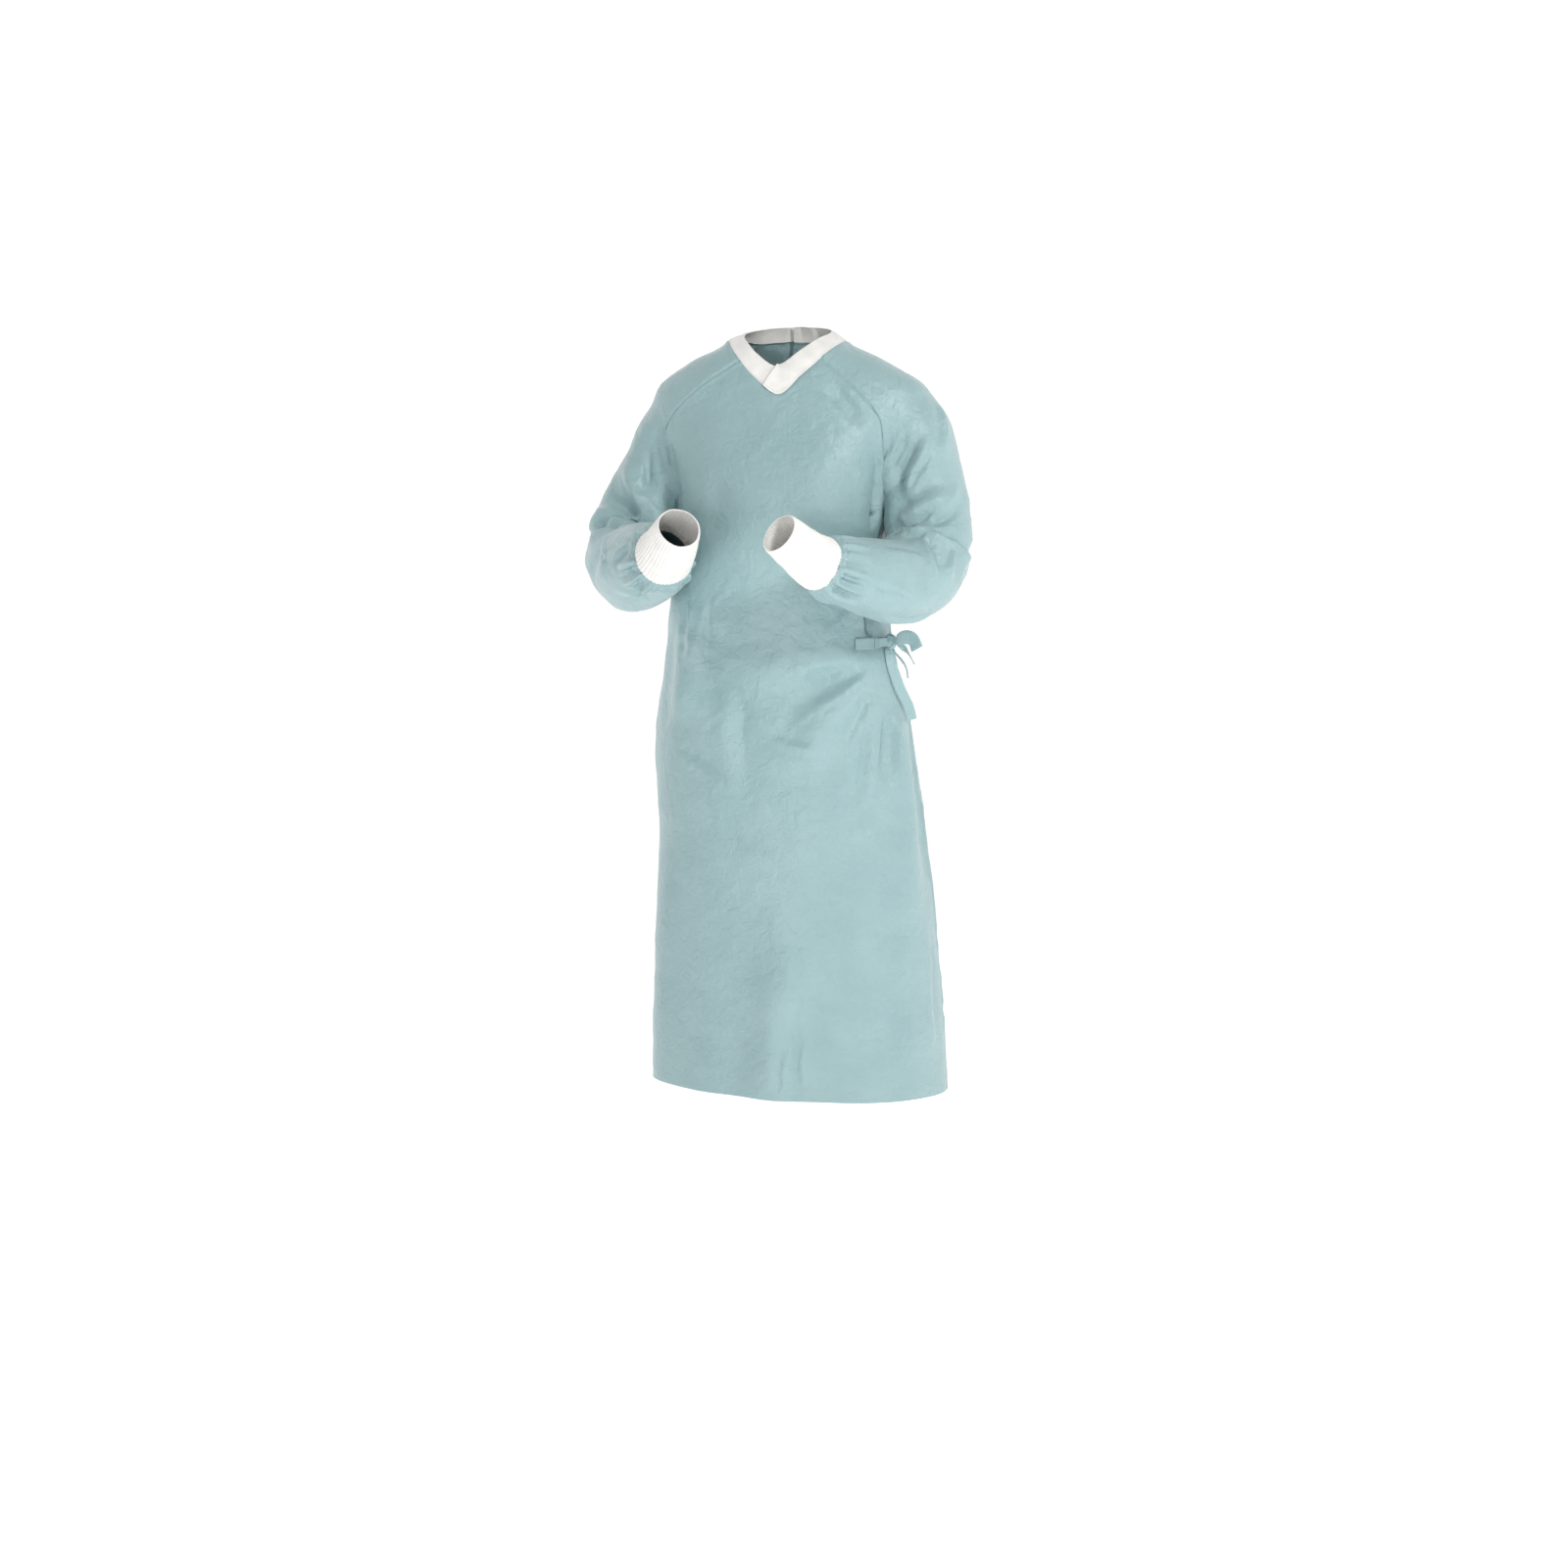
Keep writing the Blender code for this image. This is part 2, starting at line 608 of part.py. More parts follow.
def gather_offset(share, turn):
    """The gathers where the sleeve is drawn in to the cuff."""
    rise = ease((share - 1 + GATHER_LENGTH) / (0.6 * GATHER_LENGTH))
    fall = 1 - 0.65 * ease((share - 1 + 0.25 * GATHER_LENGTH) / (0.25 * GATHER_LENGTH))
    return GATHER_HEIGHT * rise * fall * np.cos(2 * np.pi * GATHERS * turn)


def sleeve_cap(side, turns):
    """The sleeve from the neck to its first whole ring, between the two raglan seams."""
    front, back = RAGLANS[side, True], RAGLANS[side, False]
    angles = np.linspace(FRONT_RAGLAN_ANGLE, BACK_RAGLAN_ANGLE, SLEEVE_COLUMNS + 1)
    neck = settle(neck_point(NECK_SEAM, side * angles), yoke_form(0))
    ring = sleeve_ring(side, 0.0, turns)[0]
    pull = (0.5 + 0.5 * np.cos(2 * np.pi * turns)) ** 3
    ring = ring + pull[:, None] * (front[-1] - ring[0])
    cap = coons(neck, ring, front, back)
    form = yoke_form(yoke_shares()[:, None])
    cap[1:, 1:-1] = settle(cap, form)[1:, 1:-1]
    return cap, unit(slope_of(form, cap))


def sleeve_panel(side):
    """A raglan sleeve from the neck to the cuff, and its outward directions."""
    turns = np.linspace(0, 1, SLEEVE_COLUMNS + 1)
    shares = np.linspace(0, 1, SLEEVE_ROWS + 1)[1:, None]
    cap, common = sleeve_cap(side, turns)
    lean = yoke_shares()[:, None, None] ** 4

    def own_distance(points):
        return sleeve_distance(points, side)

    cap_out = unit(common + lean * unit(slope_of(own_distance, cap)))
    tube, tube_out = sleeve_ring(side, shares, turns)
    near = (1 - ease(shares / 0.25))[..., None]
    tube = tube + near * (cap[-1] - sleeve_ring(side, 0.0, turns)[0])

    def place(share, turn):
        return sleeve_ring(side, share, turn)[0]

    points = np.concatenate([cap, tube])
    moves = np.concatenate([common, tube_out])
    folds = fold_offset(points, SLEEVE_FOLDS[side], place)
    folds[: YOKE_ROWS + 1] *= ease(6 * np.minimum(turns, 1 - turns))
    folds[: YOKE_ROWS + 1] += body_shift(cap)
    folds[YOKE_ROWS + 1 :] += gather_offset(shares, turns)
    points = points + folds[..., None] * moves
    points[YOKE_ROWS + 1 :] = clear_of_body(points[YOKE_ROWS + 1 :], ARM_CLEARANCE)
    return points, np.concatenate([cap_out, tube_out])


def clear_of_body(points, clearance):
    """Moves points that are too close to the body away from it."""
    for _ in range(4):
        short = clearance - torso_distance(points) + body_shift(points)
        away = unit(slope_of(torso_distance, points))
        points = points + np.maximum(short, 0)[..., None] * away
    return points


def seam_trim(points, outwards, tangent, inside, gap=SEAM_GAP / 2):
    """Border points moved into their panel, square to the seam."""
    across = unit(np.cross(tangent, outwards))
    sign = np.sign((across * (inside - points)).sum(-1, keepdims=True))
    return points + gap * sign * across


def trim_columns(points, outwards, rows=slice(None), first=True, last=True):
    """Moves the first and last columns of a panel half a seam gap into it."""
    trimmed = points.copy()
    for wanted, column, inner in ((first, 0, 1), (last, -1, -2)):
        if wanted:
            edge = points[rows, column]
            tangent = np.gradient(edge, axis=0)
            trimmed[rows, column] = seam_trim(
                edge, outwards[rows, column], tangent, points[rows, inner]
            )
    return trimmed


def trim_row(points, outwards, row, inner, gap=SEAM_GAP / 2):
    tangent = np.gradient(points[row], axis=0)
    trimmed = points.copy()
    trimmed[row] = seam_trim(points[row], outwards[row], tangent, points[inner], gap)
    return trimmed


def material(name):
    found = bpy.data.materials.get(name)
    if found:
        return found
    red, green, blue, roughness = COLOURS[name]
    made = bpy.data.materials.new(name)
    made.use_nodes = True
    shader = made.node_tree.nodes["Principled BSDF"]
    shader.inputs["Base Color"].default_value = (red, green, blue, 1)
    shader.inputs["Roughness"].default_value = roughness
    shader.inputs["Metallic"].default_value = 0
    return made


def add_object(name, vertices, faces, material_name):
    mesh = bpy.data.meshes.new(name)
    mesh.from_pydata([tuple(v) for v in vertices], [], faces)
    shape = bmesh.new()
    shape.from_mesh(mesh)
    loose = [v for v in shape.verts if not v.link_faces]
    bmesh.ops.delete(shape, geom=loose, context="VERTS")
    bmesh.ops.recalc_face_normals(shape, faces=shape.faces)
    shape.to_mesh(mesh)
    shape.free()
    mesh.shade_smooth()
    mesh.set_sharp_from_angle(angle=math.radians(50))
    made = bpy.data.objects.new(name, mesh)
    made.data.materials.append(material(material_name))
    COLLECTION.objects.link(made)
    return made


def add_wall(name, outer, outwards, material_name, thickness=CLOTH, closed_from=None):
    """A wall between a grid of outer points and the same grid one thickness further in.
    From the row closed_from on, the last column is the first one again. Each cell is cut
    along its shorter diagonal, on both faces alike, so that the wall stays even."""
    rows, columns = outer.shape[:2]
    vertices = np.stack([outer, outer - thickness * outwards]).reshape(-1, 3)

    def corner(layer, row, column):
        if closed_from is not None and row >= closed_from and column == columns - 1:
            column = 0
        return (layer * rows + row) * columns + column

    faces = []
    for row in range(rows - 1):
        for column in range(columns - 1):
            a, b = (row, column), (row, column + 1)
            c, d = (row + 1, column + 1), (row + 1, column)
            if np.linalg.norm(outer[a] - outer[c]) < np.linalg.norm(outer[b] - outer[d]):
                halves = ((a, b, c), (a, c, d))
            else:
                halves = ((a, b, d), (b, c, d))
            for half in halves:
                faces.append([corner(0, *at) for at in half])
                faces.append([corner(1, *at) for at in reversed(half)])
    open_rows = rows - 1 if closed_from is None else closed_from
    rims = [((row, c), (row, c + 1)) for row in (0, rows - 1) for c in range(columns - 1)]
    rims += [((r, c), (r + 1, c)) for c in (0, columns - 1) for r in range(open_rows)]
    for a, b in rims:
        ends = corner(0, *a), corner(0, *b), corner(1, *b), corner(1, *a)
        faces.append([ends[0], ends[1], ends[2]])
        faces.append([ends[0], ends[2], ends[3]])
    return add_object(name, vertices, faces, material_name)


def add_body_panels():
    """The front and the two laps of the back. Returns their outer points and directions."""
    grids = {}
    for name, made, sewn in (
        ("front", front_panel(), (True, True)),
        ("back_left", inner_back_panel(), (True, False)),
        ("back_right", outer_back_panel(), (True, False)),
    ):
        points, outwards = made
        trimmed = trim_columns(points, outwards, first=sewn[0], last=sewn[1])
        trimmed = trim_row(trimmed, outwards, -1, -2)
        add_wall(name, trimmed, outwards, "gown_cloth")
        grids[name] = points, outwards
    return grids


def add_sleeves():
    for side, name in ((LEFT, "left"), (RIGHT, "right")):
        points, outwards = sleeve_panel(side)
        cap = slice(0, YOKE_ROWS + 1)
        trimmed = trim_columns(points, outwards, rows=cap)
        trimmed = trim_row(trimmed, outwards, 0, 1)
        underarm_point = points[YOKE_ROWS, 0]
        step = SEAM_GAP * unit(points[YOKE_ROWS + 1, 0] - underarm_point)
        trimmed[YOKE_ROWS, [0, -1]] = underarm_point + step
        add_wall(f"sleeve_{name}", trimmed, outwards, "gown_cloth", closed_from=YOKE_ROWS)
        add_cuff(side, name)


def add_cuff(side, name):
    """The knit cuff, sewn on at the end of the sleeve's cloth."""
    last = LINES[side][2][-1]
    length = last - 1
    start = 1 + SEAM_GAP / np.linalg.norm(
        np.subtract(SLEEVES[side][-1][:3], SLEEVES[side][CLOTH_END_ROW][:3])
    ) * length
    shares = np.linspace(start, last, CUFF_ROWS + 1)[:, None]
    turns = np.linspace(0, 1, CUFF_COLUMNS + 1)
    points, outwards = sleeve_ring(side, shares, turns)
    add_wall(f"cuff_{name}", points, outwards, "knit", closed_from=0)


def outer_lift_at_neck(angle):
    """How far the collar of the outer lap stands off, in line with its panel."""
    seam = 360 - BACK_RAGLAN_ANGLE
    share = (seam - angle) / (seam - OUTER_LAP_NECK)
    meets = (seam - INNER_LAP_NECK) / (seam - OUTER_LAP_NECK)
    return LAP_LIFT * ease((share - meets + LAP_RAMP) / LAP_RAMP)


def inner_sink_at_neck(angle):
    share = (angle - BACK_RAGLAN_ANGLE) / (INNER_LAP_NECK - BACK_RAGLAN_ANGLE)
    meets = (OUTER_LAP_NECK - BACK_RAGLAN_ANGLE) / (INNER_LAP_NECK - BACK_RAGLAN_ANGLE)
    return -LAP_SINK * ease((share - meets + LAP_RAMP) / LAP_RAMP)


def collar_angles(side, last):
    """A collar half's angles round the neck, along its seam and along its free edge. The
    left half starts past the front's middle, over the right one. Both free edges start in
    the corner of the V. Up to the raglan seams the columns meet the front panel's."""
    step = 2 * FRONT_RAGLAN_ANGLE / FRONT_COLUMNS
    angles = np.linspace(FRONT_RAGLAN_ANGLE, abs(last), COLLAR_COLUMNS + 1)
    if side == RIGHT:
        seam = np.concatenate([np.arange(COLLAR_LAP_ANGLE, FRONT_RAGLAN_ANGLE, step), angles])
        corner, level = (COLLAR_LAP_ANGLE, 2 * COLLAR_LAP_ANGLE), (0, 2 * COLLAR_LAP_ANGLE)
        return -seam, -np.interp(seam, (*corner, abs(last)), (*level, abs(last)))
    seam = np.concatenate([np.arange(-COLLAR_LAP_ANGLE, FRONT_RAGLAN_ANGLE, step), angles])
    return seam, np.interp(seam, (-COLLAR_LAP_ANGLE, 0, step, last), (0, step / 3, step, last))


def collar_grid(seam_angles, edge_angles, offset):
    """A collar half's points, from the neck seam to the free edge, and their directions.
    At the seam they are the panels' own, so that the walls meet edge to edge."""
    form = yoke_form(0)
    seam = settle(neck_point(NECK_SEAM, seam_angles % 360), form)
    out = unit(slope_of(form, seam))
    seam = seam + (body_shift(seam) + offset)[:, None] * out
    edge = neck_point(NECK_EDGE, edge_angles % 360)
    flat = unit(edge * (1, 1, 0))
    edge = edge + offset[:, None] * flat
    rise = np.linspace(0, 1, COLLAR_ROWS + 1)[:, None, None]
    points = seam * (1 - rise) + edge * rise
    points = points + 4 * COLLAR_BULGE * rise * (1 - rise) * unit(out + flat)
    outwards = grid_normals(points, flat)
    outwards[0] = out
    return points, outwards


def add_collar():
    """The knit band in two halves. At the front the left one laps over the right one."""
    for name, side, last, offset_at in (
        ("collar_left", LEFT, INNER_LAP_NECK, inner_sink_at_neck),
        ("collar_right", RIGHT, OUTER_LAP_NECK - 360, outer_lift_at_neck),
    ):
        seam_angles, edge_angles = collar_angles(side, last)
        offset = offset_at(seam_angles if side == LEFT else seam_angles % 360)
        points, outwards = collar_grid(seam_angles, edge_angles, offset)
        trimmed = trim_columns(points, outwards, last=False)
        trimmed = trim_row(trimmed, outwards, 0, 1, SEAM_GAP)
        add_wall(name, trimmed, outwards, "knit")


def grid_normals(points, towards):
    """The directions square to a grid of points, on the side that towards names."""
    normals = np.cross(np.gradient(points, axis=0), np.gradient(points, axis=1))
    sign = np.sign((normals * towards).sum(-1, keepdims=True))
    return unit(normals * sign)


def add_strap(name, middle, across, widths, thickness=TIE_THICKNESS, clearance=None):
    """A flat strap along a line of points, as wide at each as widths says."""
    tangents = np.gradient(middle, axis=0)
    outwards = unit(np.cross(tangents, unit(across)))
    across = unit(np.cross(outwards, tangents))
    half = np.broadcast_to(widths, len(middle))[:, None] / 2
    sides = np.stack([middle - half * across, middle, middle + half * across], axis=1)
    if clearance:
        sides = clear_of_body(sides, clearance)
    facing = np.repeat(outwards[:, None], 3, axis=1)
    return add_wall(name, sides + thickness / 2 * facing, facing, "tie_cloth", thickness)


def on_body(angles, height, lift):
    """Points just off the body's cloth at these angles and this height."""
    points = torso_point(np.asarray(angles, float), height)
    out = unit(slope_of(torso_distance, points))
    return points + (body_shift(points) + lift)[..., None] * out


def add_panel_tab(panel):
    """The stitched tab on the front, made from the front panel's points, moved out."""
    points, outwards = panel
    row = (WAIST_Z - HEM_Z) / (UNDERARM_Z - HEM_Z) * SKIRT_ROWS
    reach = TIE_WIDTH / 2 / (UNDERARM_Z - HEM_Z) * SKIRT_ROWS
    rows = row + reach * np.array([-1, 1])
    columns = (np.array(TAB_ANGLES) / SIDE_SEAM_ANGLE + 1) / 2 * FRONT_COLUMNS
    columns = np.linspace(*columns, 4)
    r, c = np.meshgrid(rows, columns, indexing="ij")
    low_r, low_c = np.floor(r).astype(int), np.floor(c).astype(int)
    tr, tc = (r - low_r)[..., None], (c - low_c)[..., None]

    def between(grid):
        near = grid[low_r, low_c] * (1 - tc) + grid[low_r, low_c + 1] * tc
        far = grid[low_r + 1, low_c] * (1 - tc) + grid[low_r + 1, low_c + 1] * tc
        return near * (1 - tr) + far * tr

    facing = unit(between(outwards))
    outer = between(points) + (TIE_LIFT + TIE_THICKNESS) * facing
    add_wall("tie_tab", outer, facing, "tie_cloth", TIE_THICKNESS)


def past_lap(stations, edge):
    """How far a strap has climbed onto the outer lap, whose edge is at this angle."""
    start, end = STRAP_LAP_CLIMB
    return STRAP_LAP_LIFT * ease((stations - edge + start) / (start - end))


def add_waist_straps():
    """The two straps that meet at the knot: from the front's tab, and from the outer lap."""
    middle = TIE_LIFT + TIE_THICKNESS / 2
    reach = KNOT_SIZE[1] / 2 + KNOT_GAP
    for name, angles, count, sign in (
        ("tie_front", FRONT_STRAP_ANGLES, 4, -1),
        ("tie_back", BACK_STRAP_ANGLES, STRAP_STATIONS, 1),
    ):
        stations = np.linspace(*angles, count)
        lifts = middle + past_lap(stations, through(OUTER_LAP, WAIST_Z)[0])
        line = on_body(stations, WAIST_Z, lifts)
        ends = np.array([(0, sign * (reach + STRAP_RUN_IN), 0), (0, sign * reach, 0)])
        line = np.vstack([line, KNOT_CENTRE + turned_with_knot(ends)])
        widths = np.linspace(TIE_WIDTH, TIE_PINCHED, len(line))
        add_strap(name, line, np.tile((0.0, 0.0, 1.0), (len(line), 1)), widths)


def turned_with_knot(vectors):
    turn = math.radians(KNOT_TILT)
    across, along = math.cos(turn), math.sin(turn)
    return vectors @ np.array([(across, -along, 0), (along, across, 0), (0, 0, 1)])


def add_knot():
    bpy.ops.mesh.primitive_cube_add(size=1, location=KNOT_CENTRE)
    knot = bpy.context.object
    knot.name = "tie_knot"
    knot.scale = KNOT_SIZE
    knot.rotation_euler[2] = -math.radians(KNOT_TILT)
    bpy.ops.object.transform_apply(location=False, rotation=False, scale=True)
    rounded = knot.modifiers.new("edges", "BEVEL")
    rounded.width = KNOT_EDGE
    rounded.segments = 3
    knot.data.materials.append(material("tie_cloth"))
    for holder in list(knot.users_collection):
        holder.objects.unlink(knot)
    COLLECTION.objects.link(knot)


def add_bow():
    for name, (width, rows) in BOW.items():
        steps = np.linspace(0, len(rows) - 1, 3 * len(rows) - 2)
        path = through(numbered(rows), steps)
        widths = width * (BOW_START + (1 - BOW_START) * ease(steps / 2))
        middle = KNOT_CENTRE + turned_with_knot(path[:, :3])
        across = turned_with_knot(path[:, 3:])
        add_strap(name, middle, across, widths, clearance=BOW_CLEARANCE)


def add_neck_tab():
    stations = np.linspace(*NECK_TAB_ANGLES, STRAP_STATIONS)
    form = yoke_form(NECK_TAB_SHARE)
    line = settle(neck_point(NECK_SEAM, stations) + NECK_TAB_DROP, form)
    out = unit(slope_of(form, line))
    lift = NECK_TAB_LIFT + TIE_THICKNESS / 2 + past_lap(stations, OUTER_LAP_NECK)
    line = line + (body_shift(line) + lift)[:, None] * out
    across = np.cross(out, np.gradient(line, axis=0))
    add_strap("neck_tab", line, across, NECK_TAB_WIDTH)


def main():
    for old in list(bpy.data.objects):
        bpy.data.objects.remove(old, do_unlink=True)
    bpy.context.scene.collection.children.link(COLLECTION)
    panels = add_body_panels()
    add_sleeves()
    add_collar()
    add_panel_tab(panels["front"])
    add_waist_straps()
    add_knot()
    add_bow()
    add_neck_tab()


COLLECTION = bpy.data.collections.new("surgical_gown")
main()
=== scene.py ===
"""The look of a wrap-around surgical gown as it is worn, hollow, with no wearer in it.

Metres, +Z up. The front of the gown faces -Y and the wearer's left is +X. Each panel is a
thin shell on the outer form of its solid, with finer creases, seams, stitches and knit.
"""

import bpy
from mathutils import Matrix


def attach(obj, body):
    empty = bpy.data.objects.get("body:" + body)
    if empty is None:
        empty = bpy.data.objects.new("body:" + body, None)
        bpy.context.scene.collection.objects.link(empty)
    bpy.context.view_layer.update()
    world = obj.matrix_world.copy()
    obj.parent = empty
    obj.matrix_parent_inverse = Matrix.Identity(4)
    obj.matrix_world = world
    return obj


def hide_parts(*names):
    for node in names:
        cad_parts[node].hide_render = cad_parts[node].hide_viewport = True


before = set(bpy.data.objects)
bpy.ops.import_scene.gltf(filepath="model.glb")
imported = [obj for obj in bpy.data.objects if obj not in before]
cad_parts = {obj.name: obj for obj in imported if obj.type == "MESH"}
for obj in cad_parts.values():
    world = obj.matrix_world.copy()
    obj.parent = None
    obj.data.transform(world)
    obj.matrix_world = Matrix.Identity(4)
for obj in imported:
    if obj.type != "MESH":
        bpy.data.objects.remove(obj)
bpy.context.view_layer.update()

import math

import bpy
import mathutils
import numpy as np

HEM_Z = -1.136
HEM_TILT = 0.030  # how far the hem drops for each metre towards the wearer's left
UNDERARM_Z = -0.262
WAIST_Z = -0.459

LEFT = 1.0
RIGHT = -1.0
SIDES = ((LEFT, "left"), (RIGHT, "right"))

# How thick the cloth and the knit are.
CLOTH = 0.0008
KNIT = 0.0016

# Rows and columns of the panels' grids, without the closer ones along their seams.
SKIRT_ROWS = 200
YOKE_ROWS = 60
FRONT_COLUMNS = 165
BACK_COLUMNS = 100
SLEEVE_COLUMNS = 165
SLEEVE_ROWS = 160
CUFF_ROWS = 26
CUFF_COLUMNS = 240
COLLAR_COLUMNS = 220
COLLAR_ROWS = 12
CLOSE_SHARES = (0.0025, 0.005, 0.0085, 0.013)

# The torso's oval rings: height, centre across, half width, depth to the front and to the
# back of the middle, and squareness, where 2 is an ellipse.
TORSO = (
    # z, centre_x, half_width, front, back, squareness
    (-1.18, 0.021, 0.226, 0.172, 0.176, 2.15),
    (-0.98, 0.017, 0.219, 0.163, 0.168, 2.15),
    (-0.74, 0.008, 0.205, 0.15, 0.152, 2.2),
    (-0.59, -0.003, 0.194, 0.14, 0.138, 2.2),
    (-0.468, -0.012, 0.173, 0.129, 0.118, 2.25),
    (-0.35, -0.01, 0.161, 0.127, 0.114, 2.3),
    (-0.262, -0.004, 0.159, 0.128, 0.121, 2.3),
    (-0.17, -0.002, 0.176, 0.113, 0.128, 2.3),
    (-0.11, 0, 0.199, 0.09, 0.123, 2.2),
    (-0.072, 0, 0.193, 0.076, 0.11, 2.1),
    (-0.042, 0, 0.152, 0.066, 0.096, 2.05),
    (-0.012, 0, 0.096, 0.057, 0.083, 2),
    (0.03, 0, 0.07, 0.05, 0.074, 2),
)

# The sleeves' middle lines, from inside the shoulder over the end of the cloth to the end
# of the knit cuff: place, with x outwards from the middle, and radius.
SLEEVE_LEFT = (
    # x, y, z, radius
    (0.12, 0.012, -0.114, 0.056),
    (0.174, 0.012, -0.138, 0.067),
    (0.205, 0.006, -0.208, 0.064),
    (0.221, -0.006, -0.276, 0.063),
    (0.224, -0.034, -0.33, 0.067),
    (0.204, -0.096, -0.362, 0.062),
    (0.164, -0.168, -0.354, 0.056),
    (0.114, -0.243, -0.333, 0.041),
    (0.07, -0.306, -0.288, 0.031),
)
SLEEVE_RIGHT = (
    # x, y, z, radius
    (0.12, 0.014, -0.12, 0.056),
    (0.17, 0.016, -0.146, 0.062),
    (0.199, 0.01, -0.204, 0.062),
    (0.228, -0.002, -0.262, 0.064),
    (0.238, -0.034, -0.322, 0.067),
    (0.212, -0.098, -0.346, 0.064),
    (0.168, -0.17, -0.338, 0.06),
    (0.122, -0.24, -0.325, 0.045),
    (0.08, -0.303, -0.282, 0.033),
)
SLEEVES = {LEFT: SLEEVE_LEFT, RIGHT: SLEEVE_RIGHT}
ARMHOLE_ROW = 2  # the row of the sleeve's table from which its rings are whole
CLOTH_END_ROW = 7
LINE_STEPS = 80
SHOULDER_BLEND = 0.045
UNDERARM_BLEND = 0.010
ARM_CLEARANCE = 0.005

# The neck seam, where the collar band is sewn on, and the band's free edge, by the angle
# round the neck from the middle of the front towards the wearer's left. The neck opening
# sits a little off the middle, so the two sides differ.
NECK_SEAM = (
    # angle, x, y, z
    (-180, 0.004, 0.086, -0.006),
    (-130, -0.061, 0.062, -0.01),
    (-90, -0.079, 0, -0.02),
    (-50, -0.056, -0.048, -0.042),
    (-25, -0.031, -0.068, -0.064),
    (0, 0.008, -0.078, -0.09),
    (25, 0.04, -0.068, -0.061),
    (50, 0.065, -0.048, -0.039),
    (90, 0.085, 0, -0.018),
    (130, 0.064, 0.062, -0.01),
    (180, 0.004, 0.086, -0.006),
)
NECK_EDGE = (
    # angle, x, y, z
    (-180, 0.002, 0.076, 0.016),
    (-130, -0.049, 0.054, 0.012),
    (-90, -0.065, 0.006, 0.004),
    (-50, -0.052, -0.036, -0.01),
    (-25, -0.03, -0.053, -0.029),
    (0, 0.0015, -0.06, -0.045),
    (25, 0.033, -0.053, -0.024),
    (50, 0.0545, -0.036, -0.007),
    (90, 0.066, 0.006, 0.004),
    (130, 0.05, 0.054, 0.012),
    (180, 0.002, 0.076, 0.016),
)
FRONT_RAGLAN_ANGLE = 50
BACK_RAGLAN_ANGLE = 124
# Where the raglan seams run between the neck and the underarm, x outwards.
RAGLAN_MARKS = {
    # (side, at_front): places
    (LEFT, True): ((0.112, -0.068, -0.070), (0.161, -0.072, -0.124), (0.162, -0.048, -0.186)),
    (RIGHT, True): ((-0.120, -0.068, -0.076), (-0.176, -0.066, -0.130), (-0.171, -0.046, -0.190)),
    (LEFT, False): ((0.108, 0.096, -0.052), (0.158, 0.086, -0.120), (0.163, 0.060, -0.190)),
    (RIGHT, False): ((-0.108, 0.096, -0.052), (-0.160, 0.086, -0.120), (-0.168, 0.062, -0.190)),
}
SIDE_SEAM_ANGLE = 95

# The free edges of the back's two laps, as angles round the torso from the front's middle.
INNER_LAP = (
    # z, angle
    (-1.18, 222),
    (-0.459, 222),
    (-0.262, 204),
)
OUTER_LAP = (
    # z, angle
    (-1.18, 130),
    (-0.8, 126),
    (-0.459, 118),
    (-0.35, 130),
    (-0.262, 148),
)
INNER_LAP_NECK = 190
OUTER_LAP_NECK = 164
LAP_LIFT = 0.0045
LAP_LIFT_HEM = 0.004
LAP_SINK = 0.003
LAP_RAMP = 0.15  # the share of a lap's width over which it lifts or sinks
LAP_START = 8  # it stays on the form over the first eighth
STRAP_LAP_CLIMB = (9, 4)  # the angles before the outer lap where straps start and end to rise
STRAP_LAP_LIFT = 0.006

# The largest folds of the body: from and to, as an angle and a height, how wide, and how
# far out they stand, or in for a negative one.
BODY_FOLDS = (
    # from_angle, from_z, to_angle, to_z, width, height
    (75, -0.28, 72, -0.462, 0.015, -0.013),
    (63, -0.3, 62, -0.45, 0.022, 0.004),
    (68, -0.49, 12, -0.66, 0.028, 0.009),
    (60, -0.478, 8, -0.56, 0.026, -0.007),
    (74, -0.52, 45, -0.78, 0.03, -0.008),
    (82, -0.52, 70, -0.9, 0.026, 0.009),
    (90, -0.54, 88, -0.86, 0.024, -0.008),
    (-50, -0.43, -48, -0.59, 0.03, 0.009),
    (-66, -0.4, -66, -0.62, 0.028, -0.007),
    (-30, -0.42, -26, -0.56, 0.032, -0.006),
    (6, -0.9, 2, -1.17, 0.036, 0.008),
    (14, -0.98, 16, -1.17, 0.03, -0.007),
    (-34, -0.19, -28, -0.33, 0.028, -0.006),
    (48, -0.13, 30, -0.32, 0.036, 0.005),
    (-62, -0.74, -60, -1.17, 0.045, 0.006),
    (55, -0.9, 60, -1.17, 0.05, 0.006),
    (112, -0.44, 160, -0.68, 0.04, 0.008),
    (116, -0.49, 140, -0.9, 0.04, -0.008),
    (150, -0.34, 212, -0.52, 0.042, 0.007),
    (170, -0.46, 232, -0.56, 0.04, -0.007),
    (196, -0.6, 190, -1.17, 0.048, 0.009),
    (230, -0.56, 236, -1.17, 0.048, -0.008),
    (158, -0.76, 156, -1.17, 0.042, -0.007),
    (176, -0.08, 176, -0.3, 0.044, -0.006),
)

# The slight wave of the lower edge, and the heights between which it grows from nothing.
HEM_WAVES = (
    # waves round the hem, height, start
    (5, 0.004, 0.6),
    (9, 0.003, 0),
)
HEM_WAVE_FADE = (-0.75, -1.15)

